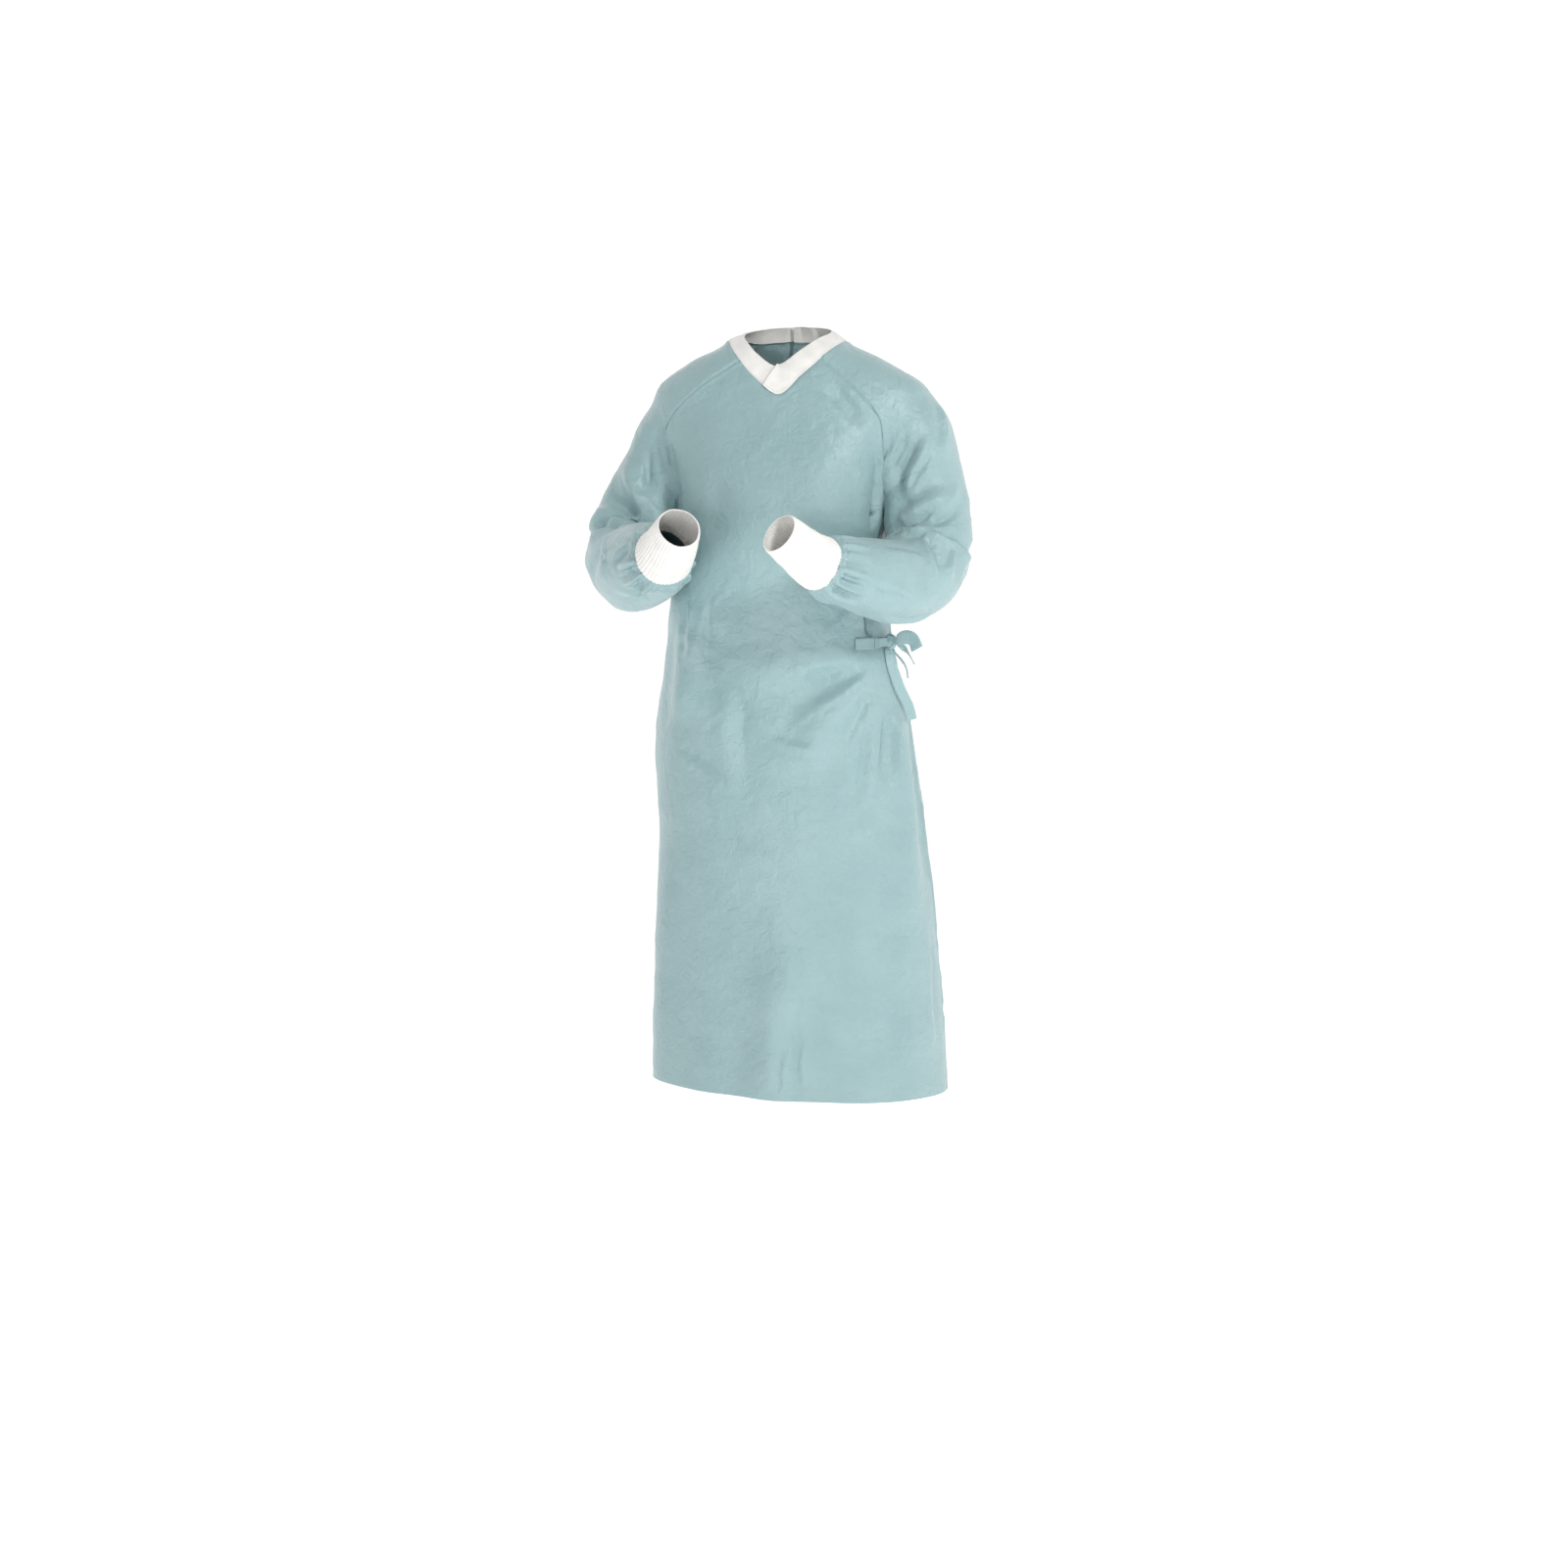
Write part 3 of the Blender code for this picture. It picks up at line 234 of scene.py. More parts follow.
# The largest folds of each sleeve: from and to, as a share of the way from the armhole to
# the cuff, and a turn round the sleeve, from the side of the body over the front.
BACK_FOLDS = (
    # from_share, from_turn, to_share, to_turn, width, height
    (0.2, 0.64, 0.44, 0.56, 0.02, -0.006),
    (0.1, 0.84, 0.36, 0.68, 0.022, 0.007),
)
LEFT_FOLDS = (
    (-0.16, 0.34, 0.14, 0.16, 0.016, -0.009),
    (-0.14, 0.44, 0.16, 0.22, 0.016, 0.006),
    (0.04, 0.36, 0.2, 0.15, 0.014, -0.009),
    (0.1, 0.42, 0.26, 0.16, 0.015, 0.009),
    (0.24, 0.44, 0.3, 0.1, 0.015, -0.012),
    (0.36, 0.42, 0.38, 0.16, 0.016, 0.008),
    (0.32, 0.38, 0.46, 0.58, 0.016, -0.008),
    *BACK_FOLDS,
    (0.54, 0.62, 0.78, 0.52, 0.024, 0.005),
)
RIGHT_FOLDS = (
    (-0.1, 0.38, 0.16, 0.2, 0.018, -0.01),
    (0.02, 0.42, 0.24, 0.18, 0.016, 0.008),
    (0.16, 0.46, 0.3, 0.16, 0.015, -0.011),
    (0.28, 0.48, 0.34, 0.14, 0.015, 0.01),
    (0.36, 0.46, 0.38, 0.14, 0.015, -0.012),
    (0.44, 0.48, 0.5, 0.22, 0.016, 0.009),
    (0.5, 0.58, 0.66, 0.4, 0.018, -0.007),
    *BACK_FOLDS,
)
SLEEVE_FOLDS = {LEFT: LEFT_FOLDS, RIGHT: RIGHT_FOLDS}
FOLD_STATIONS = 9
GATHERS = 10
GATHER_HEIGHT = 0.0045
GATHER_LENGTH = 0.16  # as a share of the sleeve

# The collar's left half laps over its right half, from this angle of the neck seam.
COLLAR_LAP_ANGLE = 15
COLLAR_BULGE = 0.002

# A closing tab over the laps' edge at the back of the neck, as angles round the neck.
NECK_TAB_ANGLES = (182, 148)
NECK_TAB_WIDTH = 0.024
NECK_TAB_SHARE = 0.12  # how far down the yoke it lies
NECK_TAB_DROP = (0.0, 0.006, -0.022)  # from the neck seam
NECK_TAB_LIFT = 0.0010
STRAP_STATIONS = 9

# The waist tie: a tab stitched to the front, two straps, and a bow at the left side.
TIE_THICKNESS = 0.0016
TIE_LIFT = 0.0016  # under the tab and the straps, clear of the panels' flat facets
TIE_WIDTH = 0.017
TIE_PINCHED = 0.011  # the straps' width where they go into the knot
TAB_ANGLES = (59, 71)
FRONT_STRAP_ANGLES = (71.4, 75.5)
BACK_STRAP_ANGLES = (124, 86)
KNOT_CENTRE = (0.1690, -0.030, -0.457)
KNOT_SIZE = (0.016, 0.020, 0.022)
KNOT_TILT = 14  # degrees, so that it sits square on the body's side
STRAP_RUN_IN = 0.0036  # the last stretch of a strap, straight into the knot
# The bow's straps, from the knot outwards. Places are from the knot's centre, turned as
# the knot is.
BOW = {
    # name: (width, rows of x, y, z, across_x, across_y, across_z)
    "tie_loop_side": (0.016, (
        (0.0091, 0, 0.002, 0, 0, 1),
        (0.013, 0, 0.002, 0, 0, 1),
        (0.025, 0.002, 0.007, 0.1, -0.4, 0.9),
        (0.037, 0.002, 0.003, 0.2, -0.6, 0.8),
        (0.045, -0.001, -0.01, 0.3, -0.7, 0.6),
    )),
    "tie_loop_down": (0.016, (
        (-0.003, -0.002, -0.012, 0.2, 1, 0),
        (-0.003, -0.002, -0.016, 0.5, 1, 0),
        (0.006, -0.004, -0.04, 0.8, 0.6, 0.2),
        (0.016, 0, -0.07, 0.8, 0.6, 0.3),
        (0.025, 0.011, -0.098, 0.8, 0.6, 0.3),
        (0.028, 0.016, -0.118, 0.7, 0.6, 0.3),
    )),
    "tie_end_a": (0.010, (
        (0.0091, 0.0055, -0.005, 0, 0.3, 1),
        (0.013, 0.0055, -0.005, 0, 0.3, 1),
        (0.023, 0.013, -0.018, 0.3, -0.8, 0.4),
        (0.033, 0.015, -0.034, 0.3, -0.9, 0.2),
    )),
    "tie_end_b": (0.009, (
        (0.004, 0.005, -0.012, 0.8, -0.6, 0),
        (0.004, 0.005, -0.016, 0.8, -0.6, 0),
        (0.016, 0.017, -0.036, 0.5, -0.8, 0.2),
        (0.02, 0.019, -0.056, 0.5, -0.8, 0.1),
    )),
}
BOW_START = 0.55  # the width where a strap leaves the knot, as a share of its own
BOW_CLEARANCE = 0.0045

# How the cloth creases, over and above its large folds. Each crease goes from where the
# cloth is pulled to where it fades. bow is how far its middle strays, in its first number.
BODY_CREASES = (
    # from_angle, from_z, to_angle, to_z, width, height, bow
    (-47, -0.384, -42, -0.524, 0.015, 0.005, 0),
    (-33, -0.39, -36, -0.51, 0.012, -0.0035, 0),
    (64, -0.482, 9, -0.526, 0.013, -0.0034, 2),
    (65, -0.498, 15, -0.578, 0.013, 0.005, 3),
    (63, -0.522, 35, -0.594, 0.012, -0.0032, 2),
    (65, -0.53, 45, -0.622, 0.014, 0.004, 2),
    (62, -0.554, 45, -0.758, 0.014, 0.005, 2),
    (70, -0.558, 62, -0.666, 0.009, -0.006, 1),
    (77, -0.558, 69, -0.686, 0.01, 0.005, 1),
    (11, -1.136, 9, -0.87, 0.009, 0.003, 2),
    (17, -1.136, 13, -0.954, 0.009, -0.003, -2),
    (3, -1.136, 8, -1.03, 0.008, -0.0025, 1),
    (-74, -0.142, -61, -0.186, 0.012, 0.003, 0),
    (-76, -0.154, -70, -0.3, 0.012, -0.004, 2),
    (46, -0.078, 60, -0.146, 0.014, -0.003, 1),
    (54, -0.07, 65, -0.13, 0.01, 0.003, 1),
    (72, -0.298, 70, -0.162, 0.012, -0.006, 0),
    (30, -0.618, -2, -0.594, 0.008, 0.002, 3),
    (44, -0.638, 13, -0.65, 0.008, -0.002, -3),
    (-54, -0.614, -20, -0.666, 0.014, -0.003, 3),
    (-17, -0.506, -12, -0.71, 0.03, -0.004, 3),
    (71, -0.456, 69, -0.38, 0.006, -0.011, 0),
    (-62, -0.44, -20, -0.48, 0.013, 0.002, 2),
    (60, -0.33, 34, -0.372, 0.012, 0.0022, 2),
    (64, -0.38, 40, -0.43, 0.012, -0.0025, 2),
    (-68, -0.33, -44, -0.372, 0.012, 0.0024, 2),
    (-86, -0.5, -84, -0.76, 0.016, 0.0035, 3),
    (84, -0.88, 80, -1.12, 0.018, -0.003, 2),
    (118, -0.47, 168, -0.56, 0.015, 0.005, 3),
    (119, -0.48, 158, -0.64, 0.015, -0.0045, 2),
    (120, -0.45, 176, -0.42, 0.014, 0.004, -3),
    (117, -0.5, 136, -0.74, 0.016, 0.004, 3),
    (148, -0.262, 196, -0.32, 0.015, 0.0035, 3),
    (104, -0.29, 130, -0.35, 0.012, -0.0035, 2),
    (255, -0.29, 224, -0.36, 0.013, 0.004, 2),
    (252, -0.32, 214, -0.41, 0.013, -0.0035, 3),
    (236, -0.12, 222, -0.22, 0.014, -0.003, 2),
    (128, -0.11, 142, -0.22, 0.014, 0.003, 2),
    (186, -0.5, 240, -0.54, 0.015, 0.0035, 3),
    (178, -0.56, 232, -0.64, 0.016, -0.003, 2),
    (206, -1.136, 202, -0.84, 0.018, 0.004, 3),
    (226, -1.136, 230, -0.9, 0.018, -0.004, 2),
    (168, -1.136, 164, -0.88, 0.018, 0.004, 3),
    (250, -1.136, 252, -0.86, 0.018, 0.0035, 2),
)
BACK_CREASES = (
    # from_share, from_turn, to_share, to_turn, width, height, bow
    (0.44, 0.06, 0.18, 0.94, 0.01, -0.0045, 0.02),
    (0.36, 0.7, 0.12, 0.6, 0.012, 0.0045, 0.02),
    (0.42, 0.74, 0.2, 0.86, 0.012, -0.004, 0.02),
    (0.06, 0.9, -0.12, 0.72, 0.011, 0.0045, 0.02),
    (0.1, 0.86, -0.1, 0.64, 0.011, -0.004, 0.02),
)
SLEEVE_CREASES = {
    LEFT: (
        (0.04, 0.21, -0.14, 0.36, 0.009, -0.006, 0),
        (0.07, 0.24, -0.13, 0.39, 0.01, 0.005, 0),
        (-0.03, 0.2, -0.17, 0.33, 0.009, -0.005, 0),
        (-0.06, 0.16, -0.19, 0.29, 0.008, -0.004, 0),
        (0.36, 0.21, 0.03, 0.5, 0.012, 0.007, 0.02),
        (0.38, 0.18, 0.13, 0.38, 0.01, -0.007, 0.02),
        (0.47, 0.26, 0.2, 0.4, 0.009, 0.004, 0.02),
        (0.43, 0.33, 0.52, 0.24, 0.007, -0.005, 0),
        (0.44, 0.33, 0.52, 0.5, 0.009, -0.006, 0.02),
        (0.39, 0.44, 0.5, 0.51, 0.01, 0.005, 0),
        (0.56, 0.4, 0.8, 0.38, 0.012, 0.003, 0.02),
        (0.65, 0.57, 0.88, 0.58, 0.012, -0.003, 0.02),
        (-0.2, 0.5, -0.01, 0.41, 0.012, 0.004, 0),
        (0.46, 0.1, 0.26, 0.3, 0.01, 0.0045, 0.02),
        (0.5, 0.66, 0.72, 0.74, 0.012, 0.0035, 0.02),
        *BACK_CREASES,
        (0.97, 0.12, 0.8, 0.08, 0.008, 0.003, 0.01),
        (0.97, 0.78, 0.78, 0.82, 0.009, -0.003, 0.01),
    ),
    RIGHT: (
        (0.44, 0.18, 0.15, 0.32, 0.009, -0.006, 0.02),
        (0.5, 0.21, 0.23, 0.33, 0.01, 0.006, 0.02),
        (0.56, 0.3, 0.36, 0.4, 0.009, -0.006, 0.02),
        (0.6, 0.38, 0.75, 0.48, 0.009, 0.006, 0.02),
        (0.75, 0.48, 0.68, 0.58, 0.009, 0.005, 0),
        (0.93, 0.43, 0.81, 0.53, 0.008, -0.005, 0),
        (0.97, 0.6, 0.82, 0.76, 0.01, -0.005, 0),
        (0.12, 0.25, -0.05, 0.37, 0.01, 0.005, 0),
        (0.88, 0.74, 0.72, 0.64, 0.012, -0.004, 0.02),
        (0.34, 0.16, 0.06, 0.4, 0.01, -0.005, 0.02),
        (0.4, 0.14, 0.22, 0.46, 0.011, 0.006, 0.02),
        (0.48, 0.12, 0.34, 0.52, 0.01, -0.0055, 0.02),
        (0.02, 0.2, -0.16, 0.34, 0.01, -0.0045, 0),
        (0.5, 0.66, 0.7, 0.76, 0.012, 0.0035, 0.02),
        *BACK_CREASES,
    ),
}
WANDER = 0.0035  # how far creases stray from a straight run
WANDER_SIZE = 0.035
WANDER_SEEDS = (11, 12)
BODY_CREASE_DEPTH = 1.6
SLEEVE_CREASE_DEPTH = 1.8
# A crease's section, in shares of its width: how round its top is, how fast it falls, how
# much steeper its steep side is, and the depth, place and width of the trough at its foot.
CREST_ROUNDING = 0.03
CREST_FALL = 1.1
CREST_STEEP = 1.9
CREST_FOOT = 0.45
CREST_FOOT_AT = 1.9
CREST_FOOT_WIDTH = 1.1
SLEEVE_SHIFT_MOST = 0.0075  # the most that creases and gathers move the sleeve's cloth
CRUMPLE_BASE = 0.45
CRUMPLE_PATCHES = 0.07  # the size of the patches in which crumples come and go
CRUMPLE_PATCH_SEED = 50
CRUMPLES = (
    # lean in degrees, length, width, height, seed
    (20, 0.07, 0.014, 0.0014, 1),
    (-38, 0.06, 0.017, 0.0015, 2),
    (70, 0.08, 0.02, 0.0012, 3),
    (-60, 0.15, 0.055, 0.004, 4),
    (15, 0.18, 0.065, 0.004, 5),
)
# Where the cloth is crushed more.
BODY_SPOTS = (
    # x, y, z, radius, extra
    (0.14, -0.06, -0.47, 0.12, 1),
    (0.05, -0.13, -0.6, 0.14, 0.5),
    (0.15, 0, -0.26, 0.09, 0.8),
    (-0.15, 0, -0.26, 0.09, 0.8),
    (-0.1, 0.1, -0.46, 0.16, 0.6),
    (0.1, 0.11, -0.48, 0.14, 0.7),
)
SLEEVE_SPOTS = {
    LEFT: (
        (0.16, -0.02, -0.28, 0.07, 1.2),
        (0.16, -0.08, -0.3, 0.07, 1.6),
        (0.12, -0.23, -0.33, 0.06, 1),
        (0.25, -0.02, -0.36, 0.08, 0.8),
    ),
    RIGHT: (
        (-0.16, -0.02, -0.28, 0.07, 1.2),
        (-0.17, -0.08, -0.29, 0.07, 1.8),
        (-0.13, -0.22, -0.33, 0.07, 1.2),
        (-0.26, -0.04, -0.34, 0.08, 1),
    ),
}

# Seams: the cloth dips into the seam, rolls up beside it, and puckers a little.
SEAM_DIP = 0.0013
SEAM_DIP_WIDTH = 0.0020
SEAM_ROLL = 0.0009
SEAM_ROLL_AT = 0.005
SEAM_ROLL_WIDTH = 0.003
PUCKER = 0.0015
PUCKER_SIZE = 0.014
PUCKER_SEED = 31
PUCKER_REACH = 0.014
SEAM_STITCH = 0.004
HEM_STITCH = 0.012
STITCH_PITCH = 0.0034
STITCH_SHARE = 0.68
STITCH_WIDTH = 0.0005
STITCH_HEIGHT = 0.0002
STITCH_FACES = (
    (0, 1, 3, 2),
    (2, 3, 5, 4),
    (0, 2, 6),
    (2, 4, 6),
    (1, 6, 3),
    (3, 6, 5),
    (0, 6, 1),
    (4, 5, 6),
)

# The stitched groove round the sleeve, above the band that is gathered to the cuff.
CASING_AT = 0.968
CASING_WIDTH = 0.006
CASING_GROOVE = 0.0032
GATHER_RELIEF = 1.2  # how much deeper the gathers are than the solid's
GATHER_FALL_AT = 0.96
GATHER_FALL = 0.8
GATHER_WAVES = ((1, 1.0, 0.0), (2, 0.5, 0.7), (3, 0.4, 0.0))  # times, height, start
END_TURN_AT = 0.985  # where the end of the sleeve turns in to the cuff
END_TURN = 0.0030
END_CALM = 0.03  # the crumples stop this far before the sleeve's end
CAP_CALM = 0.1  # and begin this far after its cap
CAP_REACH = 0.25  # how far the cap's shape goes on into the sleeve

# The knit: ribs along the cuffs and across the collar band.
RIBS = 44
RIB_HEIGHT = 0.00045
KNIT_WAVES = ((0.0012, 0.03, 71), (0.0006, 0.012, 72))  # height, size, seed
CUFF_SLACK = 0.0006
CUFF_ROLL = 0.0012  # how far the cuff's end turns in, over the last of its length
CUFF_ROLL_AT = 0.94
CUFF_SINK_SHARES = (0.04, 0.06)  # where the sunk start ends, and over what length
CUFF_TUCK = -0.12  # how far up the sleeve the cuff starts, inside its end
CUFF_SINK = 0.0035  # how far its start lies under the sleeve
COLLAR_RIBS = 150
COLLAR_RIB_HEIGHT = 0.00012
COLLAR_ROLL = 0.0005
COLLAR_ROLLS = ((0.04, 0.05), (0.93, 0.07))  # the place and width of each roll across the band
COLLAR_WAVES = ((0.0008, 0.03, 81),)
COLLAR_PROUD = 0.0034  # how far the left half stands off at the lap
COLLAR_PROUD_REACH = 16  # degrees
COLLAR_UNDER = -0.6  # the right half sinks, as a share of that
COLLAR_CORNER = 5  # degrees over which the left half's free edge leaves the V's corner

# Across a strap: places from side to side, and how full its folded edges are.
STRAP_PLACES = (-1.0, -0.97, -0.88, -0.6, 0.0, 0.6, 0.88, 0.97, 1.0)
STRAP_HEIGHTS = (0.0, 0.5, 1.0, 0.75, 0.7, 0.75, 1.0, 0.5, 0.0)
STRAP_FINENESS = 4
STRAP_WAVES = ((0.0004, 0.012, 91),)
STRAP_STITCH_COLUMNS = (1, -2)
TAB_STITCH_ROWS = (3, -4)
TAB_STATIONS = 7
FRONT_STRAP_STATIONS = 4
STITCH_LIFT = 0.001  # from the middle of a strap to its outer side
LEAST_WIDTH = 0.0101  # the narrowest size that a strap's flat width and length are worked out with
KNOT_TUCK = 0.003  # how far the straps go into the knot
KNOT_ROWS = 25
KNOT_COLUMNS = 41
KNOT_SQUARENESS = 0.75  # 1 is a ball
KNOT_CORE = 0.92  # the core's size, as a share of the knot's
KNOT_GROOVE = 0.10
KNOT_GROOVE_WIDTH = 0.25
KNOT_TURNS = ((0.25, 0.010), (-1.1, 0.008))  # lean in radians, width
KNOT_TURN_STATIONS = 49
KNOT_TURN_LIFT = (0.0008, 0.0004)  # sideways and upwards off the core
# How the strap of the side loop lies at each place along it, and how much wider it opens.
LOOP_ACROSS = ((0, 0, 1), (0, 0, 1), (0.1, 0, 1), (0.3, 0, 1), (0.8, 0, 0.5))
LOOP_WIDER = 1.3

CLOTH_LIGHT = (0.320, 0.468, 0.487)
CLOTH_DARK = (0.290, 0.435, 0.454)
CLOTH_ROUGHNESS = 0.39
CLOTH_SHEEN = 0.25
TIE_LIGHT = (0.350, 0.502, 0.522)
TIE_DARK = (0.315, 0.466, 0.486)
KNIT_LIGHT = (0.92, 0.91, 0.88)
KNIT_DARK = (0.83, 0.82, 0.79)
THREAD_COLOUR = (0.42, 0.55, 0.565)
# The grain of each material: how many to the metre, and how high it stands in metres.
CLOTH_PATCHES = 14
CLOTH_CREASES = (55, 0.0030)
CLOTH_POINTS = (620, 0.00010)
CLOTH_FIBRES = (900, 0.00012)
KNIT_PATCHES = 60
KNIT_LOOPS = (900, 0.0003)
KNIT_FUZZ = (1500, 0.0002)
THREAD_TWIST = (700, 0.0001)

# The camera stands as the photograph's does.
CAMERA_AZIMUTH = 15
CAMERA_DISTANCE = 5.0
CAMERA_Z = -0.15
CAMERA_TARGET_Z = -0.68
CAMERA_SIDE = -0.0045
METRES_PER_PIXEL = 0.0015
IMAGE_PIXELS = 1600
SENSOR = 36  # millimetres

FLOOR_Z = -1.47
FLOOR_COLOUR = (0.94, 0.94, 0.94)
FLOOR_GLOW = 0.42
FLOOR_REACH = 80
# The walls brighten between these cosines of the angle from straight behind the gown.
WALL_TURN = (-0.5, 0.75)
WALL_LEVELS = (0.28, 1.08)
LIGHT_TARGET = (0, 0, -0.6)
LIGHTS = (
    # name, place, size, power, colour
    ("key", (3.0, -2.6, 1.8), (0.7, 0.7), 90, (1.0, 0.99, 0.97)),
    ("front_low", (0.2, -3.6, -0.3), (0.5, 0.5), 20, (1.0, 1.0, 1.0)),
    ("side_right", (3.2, 1.4, 0.4), (1.0, 2.4), 10, (1.0, 1.0, 1.0)),
    ("side_left", (-3.2, 1.6, 0.4), (1.0, 2.4), 8, (1.0, 1.0, 1.0)),
)


def through(table, at):
    """The table's other columns at these values of its first, on a smooth curve."""
    rows = np.array(table, float)
    x, y = rows[:, 0], rows[:, 1:]
    at = np.clip(np.asarray(at, float), x[0], x[-1])
    slope = np.gradient(y, x, axis=0)
    i = np.clip(np.searchsorted(x, at, side="right") - 1, 0, len(x) - 2)
    step = (x[i + 1] - x[i])[..., None]
    t = (at - x[i])[..., None] / step
    start = (1 + 2 * t) * (1 - t) ** 2 * y[i] + t * (1 - t) ** 2 * step * slope[i]
    end = t * t * (3 - 2 * t) * y[i + 1] + t * t * (t - 1) * step * slope[i + 1]
    return start + end


def numbered(rows):
    """The rows with their number as a first column, for a curve through them."""
    rows = np.array(rows, float)
    return np.column_stack([np.arange(len(rows)), rows])


def ease(t):
    t = np.clip(t, 0, 1)
    return t * t * (3 - 2 * t)


def bell(distance, width):
    return np.exp(-((distance / width) ** 2))


def unit(vectors):
    length = np.linalg.norm(vectors, axis=-1, keepdims=True)
    return vectors / np.maximum(length, 1e-12)


def torso_point(angle, z):
    """The point of the torso's ring at this angle, in degrees from the front's middle."""
    angle, z = np.broadcast_arrays(np.radians(angle), z)
    centre, width, front, back, square = np.moveaxis(through(TORSO, z), -1, 0)
    across, along = np.sin(angle), -np.cos(angle)
    depth = np.where(along < 0, front, back)
    power = np.abs(across / width) ** square + np.abs(along / depth) ** square
    reach = power ** (-1 / square)
    return np.stack([centre + reach * across, reach * along, z], axis=-1)


def torso_distance(points):
    centre, width, front, back, square = np.moveaxis(through(TORSO, points[..., 2]), -1, 0)
    x, y = points[..., 0] - centre, points[..., 1]
    depth = np.where(y < 0, front, back)
    share = (np.abs(x / width) ** square + np.abs(y / depth) ** square) ** (1 / square)
    return np.hypot(x, y) * (1 - 1 / np.maximum(share, 1e-6))


def spread(count, first=True, last=True):
    """Shares from 0 to 1 at even steps, with closer ones at the ends that are sewn."""
    shares = list(np.linspace(0, 1, count + 1))
    shares += CLOSE_SHARES if first else []
    shares += [1 - share for share in CLOSE_SHARES] if last else []
    return np.unique(np.round(shares, 6))


YOKE_SHARES = spread(YOKE_ROWS, last=False)
HEIGHTS = HEM_Z + (UNDERARM_Z - HEM_Z) * spread(SKIRT_ROWS, last=False)


def walk(points):
    """How far along a polyline each of its points is."""
    steps = np.linalg.norm(np.diff(points, axis=0), axis=1)
    return np.concatenate([[0], steps.cumsum()])


def along(points, shares):
    """The polyline through points, at these shares of its length."""
    walked = walk(points[:, :3])
    return np.column_stack([np.interp(shares * walked[-1], walked, c) for c in points.T])


def underarm(side):
    return torso_point(side * SIDE_SEAM_ANGLE, UNDERARM_Z)


def sleeve_line(side):
    """Along a sleeve's middle at even steps: points, radii, shares of the way from the
    armhole to the end of the cloth, and the directions to the body and to the front."""
    table = np.array(SLEEVES[side], float) * (side, 1, 1, 1)
    knots = np.linspace(0, len(table) - 1, 12 * len(table))
    line = along(through(numbered(table), knots), np.linspace(0, 1, LINE_STEPS))
    points, radii = line[:, :3], line[:, 3]
    walked = walk(points)
    start, end = (
        walked[np.argmin(np.linalg.norm(points - table[row, :3], axis=1))]
        for row in (ARMHOLE_ROW, CLOTH_END_ROW)
    )
    tangents = unit(np.gradient(points, axis=0))
    inwards = underarm(side) - table[ARMHOLE_ROW, :3]
    sides = []
    for tangent in tangents:
        inwards = unit(inwards - (inwards @ tangent) * tangent)
        sides.append(inwards)
    sides = np.array(sides)
    fronts = np.cross(sides, tangents) * side
    return points, radii, (walked - start) / (end - start), sides, fronts


LINES = {side: sleeve_line(side) for side in (LEFT, RIGHT)}


def sleeve_distance(points, side):
    """How far a point is outside the sleeve, as the union of balls along its middle."""
    line, radius = LINES[side][:2]
    flat = points.reshape(-1, 3)
    best = np.full(len(flat), np.inf)
    for i in range(len(line) - 1):
        along = line[i + 1] - line[i]
        offset = flat - line[i]
        t = np.clip(offset @ along / (along @ along), 0, 1)
        away = np.linalg.norm(offset - t[:, None] * along, axis=1)
        best = np.minimum(best, away - radius[i] - t * (radius[i + 1] - radius[i]))
    return best.reshape(points.shape[:-1])


def yoke_form(share):
    """The distance from the torso and sleeves joined. The join is rounded, less and less
    on the way from the neck, at share 0, to the underarm, at share 1."""
    blend = SHOULDER_BLEND + (UNDERARM_BLEND - SHOULDER_BLEND) * ease(share)

    def distance(points):
        joined = torso_distance(points)
        for side in (LEFT, RIGHT):
            sleeve = sleeve_distance(points, side)
            part = np.clip(0.5 + 0.5 * (sleeve - joined) / blend, 0, 1)
            joined = sleeve * (1 - part) + joined * part - blend * part * (1 - part)
        return joined

    return distance


def slope_of(distance, points, step=2e-4):
    parts = []
    for axis in range(3):
        shift = np.zeros(3)
        shift[axis] = step
        parts.append((distance(points + shift) - distance(points - shift)) / (2 * step))
    return np.stack(parts, axis=-1)


def settle(points, distance, rounds=7):
    """Moves points straight onto the surface where distance is zero."""
    for _ in range(rounds):
        slope = slope_of(distance, points)
        size = np.maximum((slope * slope).sum(-1, keepdims=True), 0.3)
        points = points - distance(points)[..., None] * slope / size
    return points


def neck_point(table, angle):
    """A point of the neck seam or of the collar's edge. Angles go on past the back."""
    angle = np.asarray(angle, float)
    return through(table, np.where(angle > 180, angle - 360, angle))


def coons(first, last, start, end, rows, columns):
    """A grid between four curves: its first and last rows, and its start and end columns."""
    v, u = rows[:, None, None], columns[None, :, None]
    across = (1 - v) * first[None] + v * last[None]
    down = (1 - u) * start[:, None] + u * end[:, None]
    corners = (1 - v) * ((1 - u) * first[0] + u * first[-1])
    corners = corners + v * ((1 - u) * last[0] + u * last[-1])
    return across + down - corners


def neck_row(first_angle, last_angle, shares):
    points = neck_point(NECK_SEAM, first_angle + (last_angle - first_angle) * shares)
    return settle(points, yoke_form(0))


def raglan(side, at_front):
    """A raglan seam from the neck to the underarm, as points on the outer form."""
    angle = FRONT_RAGLAN_ANGLE if at_front else BACK_RAGLAN_ANGLE
    start = settle(neck_point(NECK_SEAM, side * angle), yoke_form(0))
    marks = np.vstack([start, RAGLAN_MARKS[side, at_front], underarm(side)])
    knots = np.linspace(0, len(marks) - 1, 60)
    seam = along(through(numbered(marks), knots), YOKE_SHARES)
    seam[1:-1] = settle(seam, yoke_form(YOKE_SHARES))[1:-1]
    return seam


RAGLANS = {(side, front): raglan(side, front) for side in (LEFT, RIGHT) for front in (True, False)}


